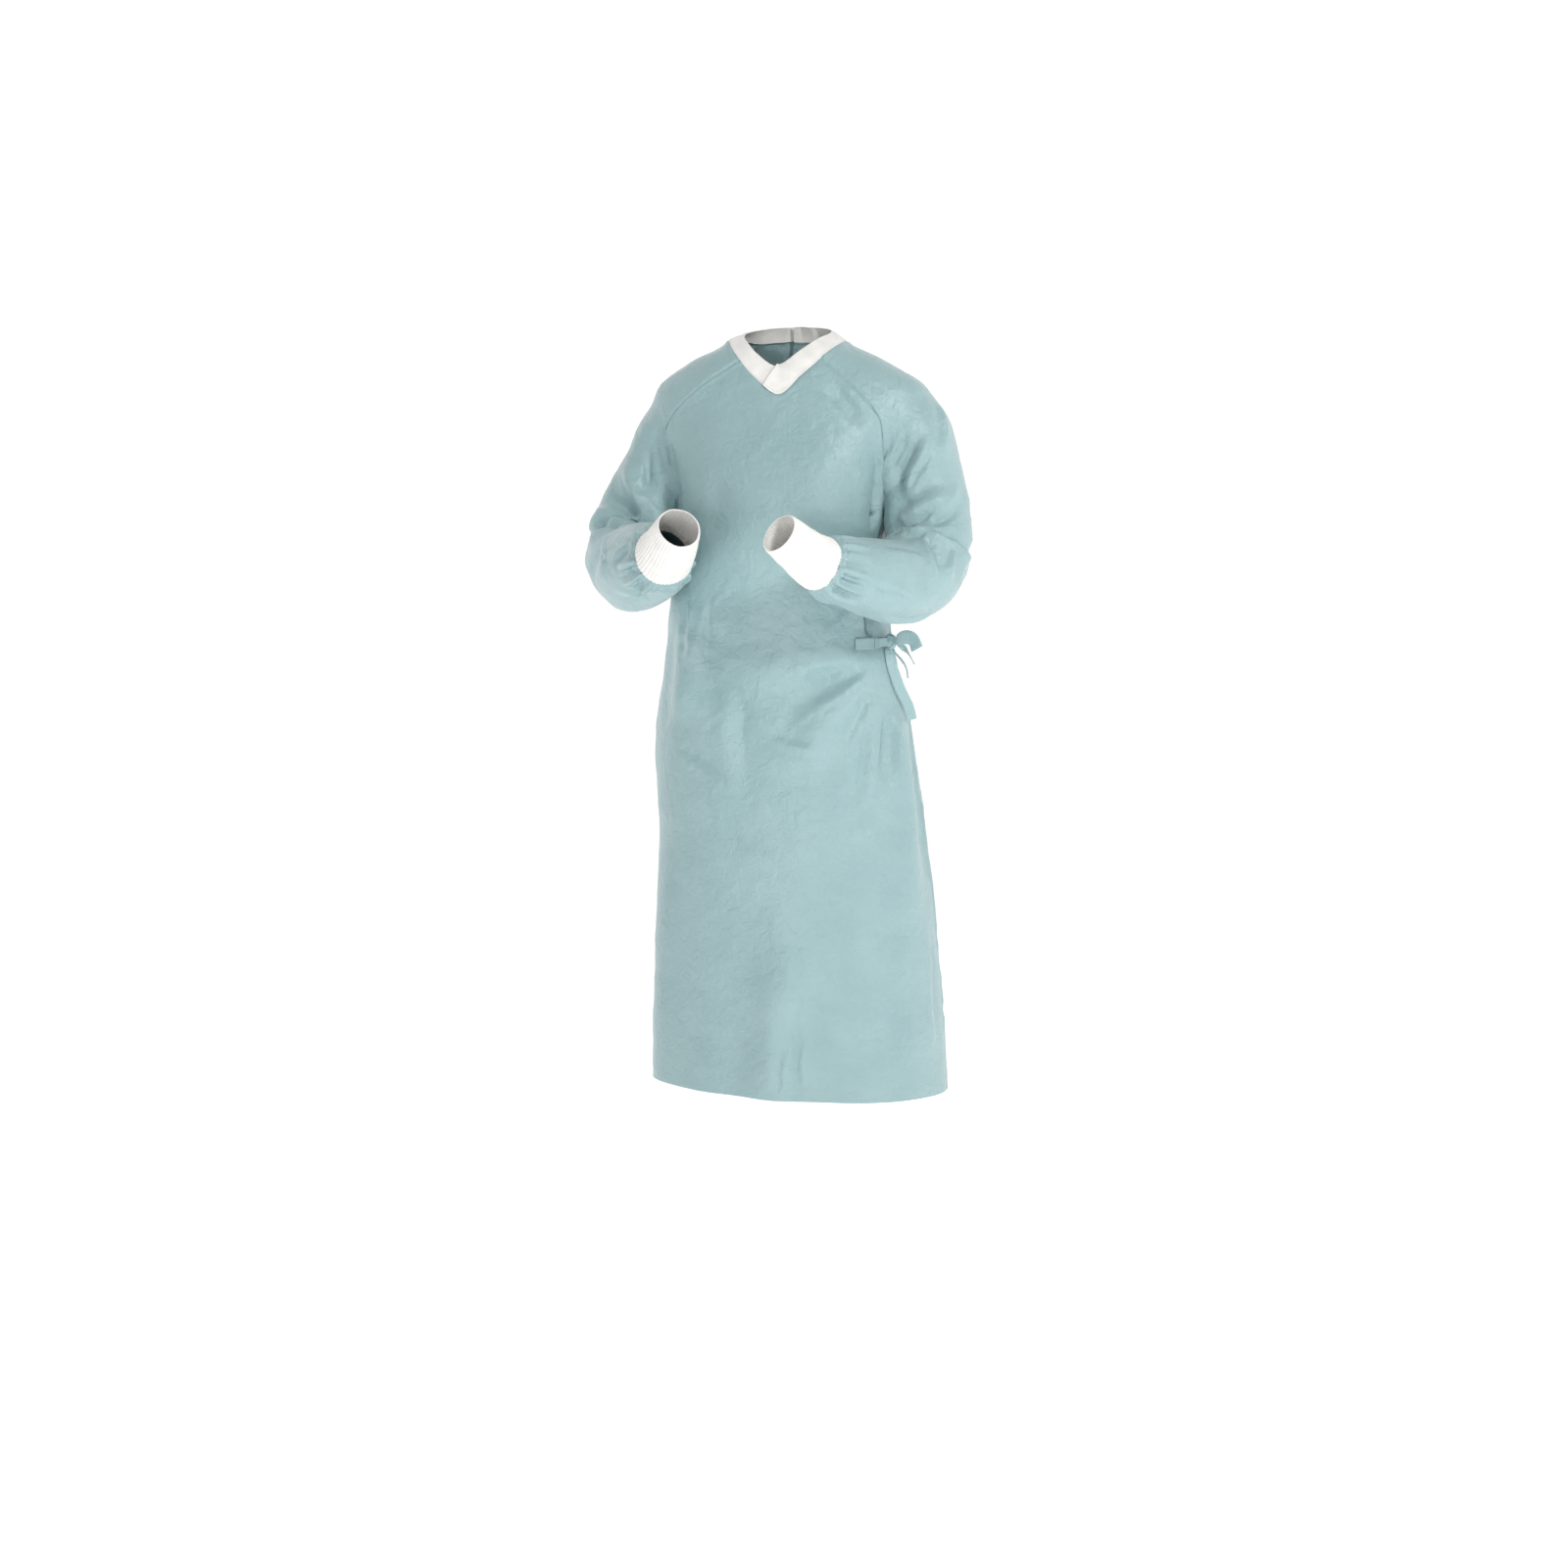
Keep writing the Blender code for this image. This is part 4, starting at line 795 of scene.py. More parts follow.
def sleeve_ring(side, share, turn):
    """Points round the sleeve, and the directions out of it, at shares of its length and
    turns from the side of the body over the front."""
    line, radii, shares, sides, fronts = LINES[side]
    share, angle = np.broadcast_arrays(share, 2 * np.pi * np.asarray(turn, float))

    def at(values):
        return np.stack([np.interp(share, shares, c) for c in values.T], axis=-1)

    outwards = np.cos(angle)[..., None] * at(sides) + np.sin(angle)[..., None] * at(fronts)
    outwards = unit(outwards)
    reach = np.interp(share, shares, radii)
    return at(line) + reach[..., None] * outwards, outwards


def nearest_on(points, stations):
    """For each point the distance to a line of stations, the share of the line where it is
    nearest, and the step from the line to the point there."""
    nearest = np.full(len(points), np.inf)
    share = np.zeros(len(points))
    steps = np.zeros_like(points)
    tangents = np.zeros_like(points)
    count = len(stations) - 1
    for i in range(count):
        run = stations[i + 1] - stations[i]
        offset = points - stations[i]
        t = np.clip(offset @ run / (run @ run), 0, 1)
        step = offset - t[:, None] * run
        away = np.linalg.norm(step, axis=1)
        closer = away < nearest
        nearest = np.where(closer, away, nearest)
        share = np.where(closer, (i + t) / count, share)
        steps[closer] = step[closer]
        tangents[closer] = run
    return nearest, share, steps, tangents


def fold_offset(points, folds, place):
    """How far the large folds move each point outwards."""
    flat = points.reshape(-1, 3)
    total = np.zeros(len(flat))
    t = np.linspace(0, 1, FOLD_STATIONS)
    for a0, b0, a1, b1, width, height in folds:
        stations = place(a0 + (a1 - a0) * t, b0 + (b1 - b0) * t)
        nearest, share = nearest_on(flat, stations)[:2]
        taper = ease(3 * share) * ease(3 * (1 - share))
        total += height * taper * bell(nearest, width)
    return total.reshape(points.shape[:-1])


def crease_offset(points, outwards, creases, place):
    """How far the creases move each point outwards. Each starts narrow, where the cloth is
    pulled, widens and fades. One side of its crest is steep, with a trough at its foot."""
    flat, out = points.reshape(-1, 3), outwards.reshape(-1, 3)
    first, second = (noise(flat, WANDER_SIZE, seed) for seed in WANDER_SEEDS)
    bent = flat + WANDER * (first * out.T + second).T
    total = np.zeros(len(flat))
    t = np.linspace(0, 1, FOLD_STATIONS)
    for a0, b0, a1, b1, width, height, bow in creases:
        stations = place(a0 + (a1 - a0) * t + 4 * bow * t * (1 - t), b0 + (b1 - b0) * t)
        nearest, share, steps, tangents = nearest_on(bent, stations)
        side = np.sign((np.cross(tangents, steps) * out).sum(-1))
        away = side * nearest / (width * (0.7 + 0.7 * share))
        away = np.where(away < 0, CREST_STEEP * away, away)
        sharp = np.sqrt(away**2 + CREST_ROUNDING) - math.sqrt(CREST_ROUNDING)
        foot = bell(away + CREST_FOOT_AT, CREST_FOOT_WIDTH)
        crest = np.exp(-CREST_FALL * sharp) - CREST_FOOT * foot
        total += height * ease(4 * share) * ease(2 * (1 - share)) * crest
    return total.reshape(points.shape[:-1])


def noise(points, size, seed):
    """Smooth noise from -1 to 1, in lumps of about this size. A size may be three sizes."""
    place = points / size
    low = np.floor(place).astype(np.int64)
    t = ease(place - low)
    total = np.zeros(points.shape[:-1])
    for corner in range(8):
        bits = np.array([corner & 1, corner >> 1 & 1, corner >> 2 & 1])
        x, y, z = np.moveaxis(low + bits, -1, 0)
        mixed = (x * 374761393 + y * 668265263 + z * 362437 + seed * 974634777) & 0x7FFFFFFF
        mixed = ((mixed ^ (mixed >> 13)) * 1274126177) & 0x7FFFFFFF
        value = ((mixed ^ (mixed >> 16)) & 0xFFFF) / 32767.5 - 1
        total += value * np.where(bits, t, 1 - t).prod(-1)
    return total


def waviness(points, waves):
    """Soft unevenness. Each wave has a height, a size and a seed."""
    return sum(height * noise(points, size, seed) for height, size, seed in waves)


def crumple(points, spots):
    """Fine shallow creases all over the cloth, deeper at the spots where it is crushed."""
    weight = np.full(points.shape[:-1], CRUMPLE_BASE)
    for x, y, z, radius, extra in spots:
        away = np.linalg.norm(points - (x, y, z), axis=-1)
        weight += extra * bell(away, radius)
    total = np.zeros(points.shape[:-1])
    for lean, long, short, height, seed in CRUMPLES:
        turned = points @ turn_about_y(lean)
        lumps = noise(turned, (long, long, short), seed)
        patches = noise(points, CRUMPLE_PATCHES, seed + CRUMPLE_PATCH_SEED)
        total += height * (1 - 2 * np.abs(lumps)) * np.abs(patches)
    return weight * total


def turn_about_y(degrees):
    c, s = math.cos(math.radians(degrees)), math.sin(math.radians(degrees))
    return np.array([(c, 0, s), (0, 1, 0), (-s, 0, c)])


def body_folds(points):
    """The same large folds, and wave of the lower edge, that the solids have."""
    angle = np.arctan2(points[..., 0], -points[..., 1])
    top, bottom = HEM_WAVE_FADE
    fade = ease((top - points[..., 2]) / (top - bottom))
    wave = sum(height * np.sin(count * angle + start) for count, height, start in HEM_WAVES)
    return fold_offset(points, BODY_FOLDS, torso_point) + fade * wave


def body_shift(points, outwards):
    """How far all of the body's folds and creases move each point outwards."""
    fine = BODY_CREASE_DEPTH * crease_offset(points, outwards, BODY_CREASES, torso_point)
    return body_folds(points) + fine + crumple(points, BODY_SPOTS)


def seam_dip(points, side):
    """How a panel's cloth dips and puckers along the seam at one side of its grid."""
    grid = points if side in ("first", "last") else points.swapaxes(0, 1)
    if side in ("last", "top"):
        grid = grid[:, ::-1]
    steps = np.linalg.norm(np.diff(grid, axis=1), axis=-1)
    away = np.concatenate([np.zeros((len(grid), 1)), steps.cumsum(axis=1)], axis=1)
    groove = -SEAM_DIP * bell(away, SEAM_DIP_WIDTH)
    roll = SEAM_ROLL * bell(away - SEAM_ROLL_AT, SEAM_ROLL_WIDTH)
    pucker = PUCKER * noise(grid, PUCKER_SIZE, PUCKER_SEED) * bell(away, PUCKER_REACH)
    total = groove + roll + pucker * ease(away / SEAM_DIP_WIDTH)
    if side in ("last", "top"):
        total = total[:, ::-1]
    return total if side in ("first", "last") else total.swapaxes(0, 1)


def body_panel(first_side, last_side, neck, columns, lift=0.0, sewn=()):
    """A body panel from hem to neck, and its outward directions. A side is the angles of
    its lower part and the points of its upper part, from the neck down. The lift says how
    far the cloth lies off the form."""
    heights = HEIGHTS[:, None]
    angles = first_side[0][:, None] * (1 - columns) + last_side[0][:, None] * columns
    fall = HEM_TILT * ease((WAIST_Z - heights) / (WAIST_Z - HEM_Z))
    lower = torso_point(angles, heights - fall * torso_point(angles, heights)[..., 0])
    rows = 1 - YOKE_SHARES[::-1]
    upper = coons(lower[-1], neck, first_side[1][::-1], last_side[1][::-1], rows, columns)
    share = YOKE_SHARES[::-1, None]
    form = yoke_form(share)
    upper[1:-1, 1:-1] = settle(upper, form)[1:-1, 1:-1]
    common = unit(slope_of(form, upper))
    lower_out = unit(slope_of(torso_distance, lower))
    points = np.concatenate([lower, upper[1:]])
    outwards = np.concatenate([lower_out[:-1], common])
    shift = body_shift(points, outwards) + lift + sum(seam_dip(points, side) for side in sewn)
    return points + shift[..., None] * outwards, outwards


def seam_side(side, at_front):
    """The side of a panel that is sewn: the side seam, then the raglan seam."""
    angle = side * SIDE_SEAM_ANGLE
    if not at_front and side == RIGHT:
        angle += 360
    return np.full(len(HEIGHTS), float(angle)), RAGLANS[side, at_front]


def lap_side(table, neck_angle):
    """The free side of a back panel."""
    angles = through(table, HEIGHTS)[:, 0]
    start = neck_row(neck_angle, neck_angle, np.zeros(1))[0]
    end = torso_point(angles[-1], UNDERARM_Z)
    edge = start + YOKE_SHARES[:, None] * (end - start)
    edge[1:-1] = settle(edge, yoke_form(YOKE_SHARES))[1:-1]
    return angles, edge


def past_lap_edge(share, meets):
    """From 0 to 1 on the way to the other lap's edge. Both are shares of a panel's width."""
    return ease((share - meets + LAP_RAMP) / LAP_RAMP)


def lap_overlap(seam, edge, other_edge):
    """For each row of a back panel, the share of its width at which the other lap's edge
    lies. Each argument is the angles at the torso's rows, then at the neck."""
    lower = (seam[0] - through(other_edge[0], HEIGHTS)[:, 0]) / (
        seam[0] - through(edge[0], HEIGHTS)[:, 0]
    )
    neck = (seam[1] - other_edge[1]) / (seam[1] - edge[1])
    up = 1 - YOKE_SHARES[::-1][1:]
    return np.concatenate([lower, lower[-1] + (neck - lower[-1]) * up])


INNER = (INNER_LAP, INNER_LAP_NECK)
OUTER = (OUTER_LAP, OUTER_LAP_NECK)


def front_panel():
    columns = spread(FRONT_COLUMNS)
    row = neck_row(-FRONT_RAGLAN_ANGLE, FRONT_RAGLAN_ANGLE, columns)
    sides = seam_side(RIGHT, True), seam_side(LEFT, True)
    return body_panel(*sides, row, columns, sewn=("first", "last", "top"))


def inner_back_panel():
    """The wearer's left back, which sinks a little where the outer lap covers it."""
    meets = lap_overlap((SIDE_SEAM_ANGLE, BACK_RAGLAN_ANGLE), INNER, OUTER)[:, None]
    columns = spread(BACK_COLUMNS)
    sink = -LAP_SINK * past_lap_edge(columns, meets) * ease(columns * LAP_START)
    row = neck_row(BACK_RAGLAN_ANGLE, INNER_LAP_NECK, columns)
    sides = seam_side(LEFT, False), lap_side(*INNER)
    return body_panel(*sides, row, columns, sink, sewn=("first", "top"))


def outer_back_panel():
    """The wearer's right back, which wraps over the other one and lies off it."""
    seam = (360 - SIDE_SEAM_ANGLE, 360 - BACK_RAGLAN_ANGLE)
    meets = lap_overlap(seam, OUTER, INNER)[:, None]
    columns = spread(BACK_COLUMNS)
    hem = ease((WAIST_Z - HEIGHTS) / (WAIST_Z - HEM_Z))
    height = LAP_LIFT + LAP_LIFT_HEM * np.concatenate([hem, np.zeros(len(YOKE_SHARES) - 1)])
    lift = height[:, None] * past_lap_edge(columns, meets) * ease(columns * LAP_START)
    row = neck_row(seam[1], OUTER_LAP_NECK, columns)
    sides = seam_side(RIGHT, False), lap_side(*OUTER)
    return body_panel(*sides, row, columns, lift, sewn=("first", "top"))


def gather_offset(share, turn):
    """The gathers where the sleeve is drawn in to the cuff, uneven in width and height."""
    rise = ease((share - 1 + GATHER_LENGTH) / (0.6 * GATHER_LENGTH))
    fall = 1 - GATHER_FALL * ease((share - GATHER_FALL_AT) / (1 - GATHER_FALL_AT))
    turned = 2 * np.pi * (GATHERS * turn + 0.25 * np.sin(2 * np.pi * turn * 3 + 1))
    wave = sum(height * np.cos(times * turned + start) for times, height, start in GATHER_WAVES)
    uneven = 0.85 + 0.3 * np.sin(2 * np.pi * turn * 2 + 0.4)
    groove = -CASING_GROOVE * bell(share - CASING_AT, CASING_WIDTH)
    end = -END_TURN * ease((share - END_TURN_AT) / (1 - END_TURN_AT))
    return GATHER_RELIEF * GATHER_HEIGHT * rise * fall * wave * uneven + groove + end


def sleeve_cap(side, turns):
    """The sleeve from the neck to its first whole ring, between the two raglan seams."""
    front, back = RAGLANS[side, True], RAGLANS[side, False]
    angles = FRONT_RAGLAN_ANGLE + (BACK_RAGLAN_ANGLE - FRONT_RAGLAN_ANGLE) * turns
    neck = settle(neck_point(NECK_SEAM, side * angles), yoke_form(0))
    ring = sleeve_ring(side, 0.0, turns)[0]
    pull = (0.5 + 0.5 * np.cos(2 * np.pi * turns)) ** 3
    ring = ring + pull[:, None] * (front[-1] - ring[0])
    cap = coons(neck, ring, front, back, YOKE_SHARES, turns)
    form = yoke_form(YOKE_SHARES[:, None])
    cap[1:, 1:-1] = settle(cap, form)[1:, 1:-1]
    return cap, unit(slope_of(form, cap))


def sleeve_panel(side):
    """A raglan sleeve from the neck to the cuff, and its outward directions."""
    turns = spread(SLEEVE_COLUMNS)
    shares = spread(SLEEVE_ROWS, first=False)[1:, None]
    cap, common = sleeve_cap(side, turns)
    tube, tube_out = sleeve_ring(side, shares, turns)
    near = (1 - ease(shares / CAP_REACH))[..., None]
    tube = tube + near * (cap[-1] - sleeve_ring(side, 0.0, turns)[0])

    def place(share, turn):
        return sleeve_ring(side, share, turn)[0]

    points = np.concatenate([cap, tube])
    outwards = np.concatenate([common, tube_out])
    top = len(cap)
    fine = SLEEVE_CREASE_DEPTH * crease_offset(points, outwards, SLEEVE_CREASES[side], place)
    calm = ease(shares / CAP_CALM) * ease((1 - shares) / END_CALM)
    fine[top:] += crumple(tube, SLEEVE_SPOTS[side]) * calm + gather_offset(shares, turns)
    shift = fold_offset(points, SLEEVE_FOLDS[side], place)
    shift += SLEEVE_SHIFT_MOST * np.tanh(fine / SLEEVE_SHIFT_MOST)
    shift[:top] *= ease(6 * np.minimum(turns, 1 - turns))
    shift[:top] += body_shift(cap, common)
    shift[:top] += seam_dip(cap, "first") + seam_dip(cap, "last")
    shift += seam_dip(points[::-1], "top")[::-1]
    points = points + shift[..., None] * outwards
    points[top:] = clear_of_body(points[top:], ARM_CLEARANCE)
    return points, outwards


def clear_of_body(points, clearance):
    """Moves points that are too close to the body away from it."""
    for _ in range(4):
        short = clearance - torso_distance(points) + body_folds(points)
        away = unit(slope_of(torso_distance, points))
        points = points + np.maximum(short, 0)[..., None] * away
    return points


def grid_normals(points, towards):
    """The directions square to a grid of points, on the side that towards names."""
    normals = np.cross(np.gradient(points, axis=0), np.gradient(points, axis=1))
    sign = np.sign((normals * towards).sum(-1, keepdims=True))
    return unit(normals * sign)


def principled(name, colour, roughness, sheen, sheen_roughness=0.4):
    made = bpy.data.materials.new(name)
    made.use_nodes = True
    shader = made.node_tree.nodes["Principled BSDF"]
    shader.inputs["Base Color"].default_value = (*colour, 1)
    shader.inputs["Roughness"].default_value = roughness
    shader.inputs["Sheen Weight"].default_value = sheen
    shader.inputs["Sheen Roughness"].default_value = sheen_roughness
    return made, made.node_tree, shader


def texture(tree, kind, scale, **settings):
    """A texture in the object's own metres, with this many repeats to the metre."""
    place = tree.nodes.new("ShaderNodeTexCoord")
    made = tree.nodes.new(kind)
    tree.links.new(place.outputs["Object"], made.inputs["Vector"])
    made.inputs["Scale"].default_value = scale
    for key, value in settings.items():
        if key in made.inputs:
            made.inputs[key].default_value = value
        else:
            setattr(made, key, value)
    return made


def tint(tree, shader, factor, dark, light, low=0.3, high=0.7):
    """Colours the cloth between two shades by a texture."""
    ramp = tree.nodes.new("ShaderNodeValToRGB")
    ramp.color_ramp.elements[0].position = low
    ramp.color_ramp.elements[1].position = high
    ramp.color_ramp.elements[0].color = (*dark, 1)
    ramp.color_ramp.elements[1].color = (*light, 1)
    tree.links.new(factor, ramp.inputs["Fac"])
    tree.links.new(ramp.outputs["Color"], shader.inputs["Base Color"])


def bumps(tree, shader, *layers):
    """Relief from textures. Each layer is a grain, as the values above say, and its source."""
    normal = None
    for (_, height), source in layers:
        bump = tree.nodes.new("ShaderNodeBump")
        bump.inputs["Strength"].default_value = 1.0
        bump.inputs["Distance"].default_value = height
        tree.links.new(source, bump.inputs["Height"])
        if normal is not None:
            tree.links.new(normal, bump.inputs["Normal"])
        normal = bump.outputs["Normal"]
    tree.links.new(normal, shader.inputs["Normal"])


def cloth_material(name, dark, light):
    """Non-woven cloth: fine pressed points, faint fibres, soft small creases, a low sheen."""
    made, tree, shader = principled(name, light, CLOTH_ROUGHNESS, CLOTH_SHEEN)
    patches = texture(tree, "ShaderNodeTexNoise", CLOTH_PATCHES, Detail=3, Roughness=0.55)
    tint(tree, shader, patches.outputs["Fac"], dark, light)
    points = texture(tree, "ShaderNodeTexVoronoi", CLOTH_POINTS[0], Randomness=0.25)
    fibres = texture(tree, "ShaderNodeTexNoise", CLOTH_FIBRES[0], Detail=2)
    uneven = {"Detail": 4, "Roughness": 0.6, "Distortion": 0.6}
    creases = texture(tree, "ShaderNodeTexNoise", CLOTH_CREASES[0], **uneven)
    bumps(
        tree,
        shader,
        (CLOTH_CREASES, creases.outputs["Fac"]),
        (CLOTH_POINTS, points.outputs["Distance"]),
        (CLOTH_FIBRES, fibres.outputs["Fac"]),
    )
    return made


def knit_material(name):
    """Fine white rib knit."""
    made, tree, shader = principled(name, KNIT_LIGHT, 0.9, 0.3)
    patches = texture(tree, "ShaderNodeTexNoise", KNIT_PATCHES, Detail=3)
    tint(tree, shader, patches.outputs["Fac"], KNIT_DARK, KNIT_LIGHT)
    loops = texture(tree, "ShaderNodeTexVoronoi", KNIT_LOOPS[0], Randomness=0.6)
    fuzz = texture(tree, "ShaderNodeTexNoise", KNIT_FUZZ[0], Detail=2)
    bumps(tree, shader, (KNIT_LOOPS, loops.outputs["Distance"]), (KNIT_FUZZ, fuzz.outputs["Fac"]))
    return made


def thread_material(name, colour):
    made, tree, shader = principled(name, colour, 0.6, 0.2)
    twist = texture(tree, "ShaderNodeTexWave", THREAD_TWIST[0], Distortion=1)
    bumps(tree, shader, (THREAD_TWIST, twist.outputs["Fac"]))
    return made


def add_object(name, data):
    made = bpy.data.objects.new(name, data)
    bpy.context.scene.collection.objects.link(made)
    return made


def add_mesh(name, vertices, faces, material):
    """A smooth piece of these faces, without the vertices that none of them uses."""
    used = np.zeros(len(vertices), bool)
    for face in faces:
        used[face] = True
    order = np.cumsum(used) - 1
    faces = [[int(order[v]) for v in face] for face in faces]
    mesh = bpy.data.meshes.new(name)
    mesh.from_pydata(vertices[used].tolist(), [], faces)
    mesh.shade_smooth()
    mesh.set_sharp_from_angle(angle=math.radians(60))
    mesh.materials.append(material)
    return add_object(name, mesh)


def quads(*corners):
    return np.stack(corners, axis=-1).reshape(-1, 4).tolist()


def rim(front, back):
    """The faces between the shell's two layers, along one border."""
    return quads(front[:-1], back[:-1], back[1:], front[1:])


def add_shell(name, outer, outwards, material, thickness=CLOTH, closed_from=None):
    """A thin shell between a grid of outer points and the same grid further in. From the
    row closed_from on, the last column is the first one again."""
    rows, columns = outer.shape[:2]
    vertices = np.stack([outer, outer - thickness * outwards]).reshape(-1, 3)
    index = np.arange(2 * rows * columns).reshape(2, rows, columns)
    if closed_from is not None:
        index[:, closed_from:, -1] = index[:, closed_from:, 0]
    front, back = index
    faces = quads(front[:-1, :-1], front[:-1, 1:], front[1:, 1:], front[1:, :-1])
    faces += quads(back[:-1, :-1], back[1:, :-1], back[1:, 1:], back[:-1, 1:])
    faces += rim(front[0], back[0]) + rim(front[-1, ::-1], back[-1, ::-1])
    open_rows = slice(0, rows if closed_from is None else closed_from + 1)
    faces += rim(front[open_rows, 0][::-1], back[open_rows, 0][::-1])
    faces += rim(front[open_rows, -1], back[open_rows, -1])
    if winds_inwards(outer, outwards):
        faces = [face[::-1] for face in faces]
    return add_mesh(name, vertices, faces, material)


def winds_inwards(outer, outwards):
    normals = np.cross(outer[:-1, 1:] - outer[:-1, :-1], outer[1:, :-1] - outer[:-1, :-1])
    return (normals * outwards[:-1, :-1]).sum() < 0


def carried(piece, nodes):
    """The piece moves with the gown and stands for these solids."""
    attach(piece, "root")
    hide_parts(*nodes)


def add_stitches(lines, material):
    """Rows of short raised stitches. Each line is points and the directions out of them."""
    vertices, faces = [], []
    for points, outwards in lines:
        length = np.linalg.norm(np.diff(points, axis=0), axis=1).sum()
        count = int(length / STITCH_PITCH)
        starts = np.linspace(0, 1, count + 1)[:-1]
        ends = starts + STITCH_SHARE / count
        a, b = along(points, starts), along(points, ends)
        walked = np.column_stack([points, outwards])
        out = unit(along(walked, starts)[:, 3:])
        across = unit(np.cross(b - a, out)) * STITCH_WIDTH / 2
        middle = (a + b) / 2 + out * STITCH_HEIGHT
        for i in range(count):
            first = len(vertices)
            vertices += [a[i] + across[i] / 2, a[i] - across[i] / 2]
            vertices += [middle[i] + across[i], middle[i] - across[i]]
            vertices += [b[i] + across[i] / 2, b[i] - across[i] / 2]
            vertices += [(a[i] + b[i]) / 2 - out[i] * STITCH_HEIGHT]
            for face in STITCH_FACES:
                faces.append([first + corner for corner in face])
    made = add_mesh("stitches", np.array(vertices), faces, material)
    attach(made, "root")


def inside_line(points, outwards, column, distance):
    """A line in a panel, this far from its border column, towards the panel's middle."""
    border = points[:, column]
    step = 1 if column == 0 else -1
    for inner in range(1, points.shape[1] // 4):
        away = np.linalg.norm(points[:, column + step * inner] - border, axis=1)
        if away.mean() > distance:
            return points[:, column + step * inner], outwards[:, column + step * inner]
    return border, outwards[:, column]


def add_body(cloth, seams):
    panels = {
        "front": front_panel(),
        "back_left": inner_back_panel(),
        "back_right": outer_back_panel(),
    }
    for name, (points, outwards) in panels.items():
        piece = add_shell(f"{name}_cloth", points, outwards, cloth)
        carried(piece, [name])
        seams.append(inside_line(points, outwards, 0, SEAM_STITCH))
    seams.append(inside_line(*panels["front"], -1, SEAM_STITCH))
    row = np.argmax(HEIGHTS > HEM_Z + HEM_STITCH)
    for points, outwards in panels.values():
        seams.append((points[row], outwards[row]))


def add_sleeves(cloth, seams):
    closed = len(YOKE_SHARES) - 1
    casing = np.argmin(np.abs(spread(SLEEVE_ROWS, first=False) - CASING_AT)) + closed
    for side, name in SIDES:
        points, outwards = sleeve_panel(side)
        piece = add_shell(f"sleeve_{name}_cloth", points, outwards, cloth, closed_from=closed)
        carried(piece, [f"sleeve_{name}"])
        seams.append((points[casing], outwards[casing]))


def add_cuffs(knit):
    for side, name in SIDES:
        last = LINES[side][2][-1]
        shares = 1 + (last - 1) * np.linspace(CUFF_TUCK, 1, CUFF_ROWS + 1)[:, None]
        turns = np.linspace(0, 1, CUFF_COLUMNS + 1)
        points, outwards = sleeve_ring(side, shares, turns)
        reach = (shares - 1) / (last - 1)
        ribs = RIB_HEIGHT * np.cos(2 * np.pi * RIBS * turns) * np.ones_like(shares)
        soft = waviness(points, KNIT_WAVES)
        rolled = -CUFF_ROLL * ease((reach - CUFF_ROLL_AT) / (1 - CUFF_ROLL_AT)) - CUFF_SLACK
        sunk_to, over = CUFF_SINK_SHARES
        tucked = -CUFF_SINK * ease((sunk_to - reach) / over)
        points = points + (ribs + soft + rolled + tucked)[..., None] * outwards
        piece = add_shell(f"cuff_{name}_knit", points, outwards, knit, KNIT, closed_from=0)
        carried(piece, [f"cuff_{name}"])


def lap_at_neck(angles, seam, edge, other_edge):
    """From 0 to 1 where the collar is over or under the other lap, in line with its panel."""
    return past_lap_edge((angles - seam) / (edge - seam), (other_edge - seam) / (edge - seam))


def collar_offset(side, angles):
    """How far a collar half stands off or sinks at the back, as its panel does."""
    if side == LEFT:
        return -LAP_SINK * lap_at_neck(angles, BACK_RAGLAN_ANGLE, INNER_LAP_NECK, OUTER_LAP_NECK)
    seam = 360 - BACK_RAGLAN_ANGLE
    return LAP_LIFT * lap_at_neck(angles % 360, seam, OUTER_LAP_NECK, INNER_LAP_NECK)


def collar_angles(side, last):
    """A collar half's angles round the neck, along its seam and along its free edge. The
    left half starts past the front's middle, over the right one. Both free edges start in
    the corner of the V."""
    seam = np.linspace(-COLLAR_LAP_ANGLE, last, COLLAR_COLUMNS + 1)
    if side == RIGHT:
        level = 2 * COLLAR_LAP_ANGLE
        return seam, -np.interp(-seam, (COLLAR_LAP_ANGLE, level, -last), (0, level, -last))
    step = COLLAR_CORNER
    return seam, np.interp(seam, (-COLLAR_LAP_ANGLE, 0, step, last), (0, step / 3, step, last))


def collar_grid(seam_angles, edge_angles, offset):
    """A collar half's points, from the neck seam to the free edge, and their directions."""
    form = yoke_form(0)
    seam = settle(neck_point(NECK_SEAM, seam_angles % 360), form)
    out = unit(slope_of(form, seam))
    seam = seam + (body_folds(seam) + offset)[:, None] * out
    edge = neck_point(NECK_EDGE, edge_angles % 360)
    flat = unit(edge * (1, 1, 0))
    edge = edge + offset[:, None] * flat
    rise = np.linspace(0, 1, COLLAR_ROWS + 1)[:, None, None]
    points = seam * (1 - rise) + edge * rise
    points = points + 4 * COLLAR_BULGE * rise * (1 - rise) * unit(out + flat)
    return points, grid_normals(points, flat)


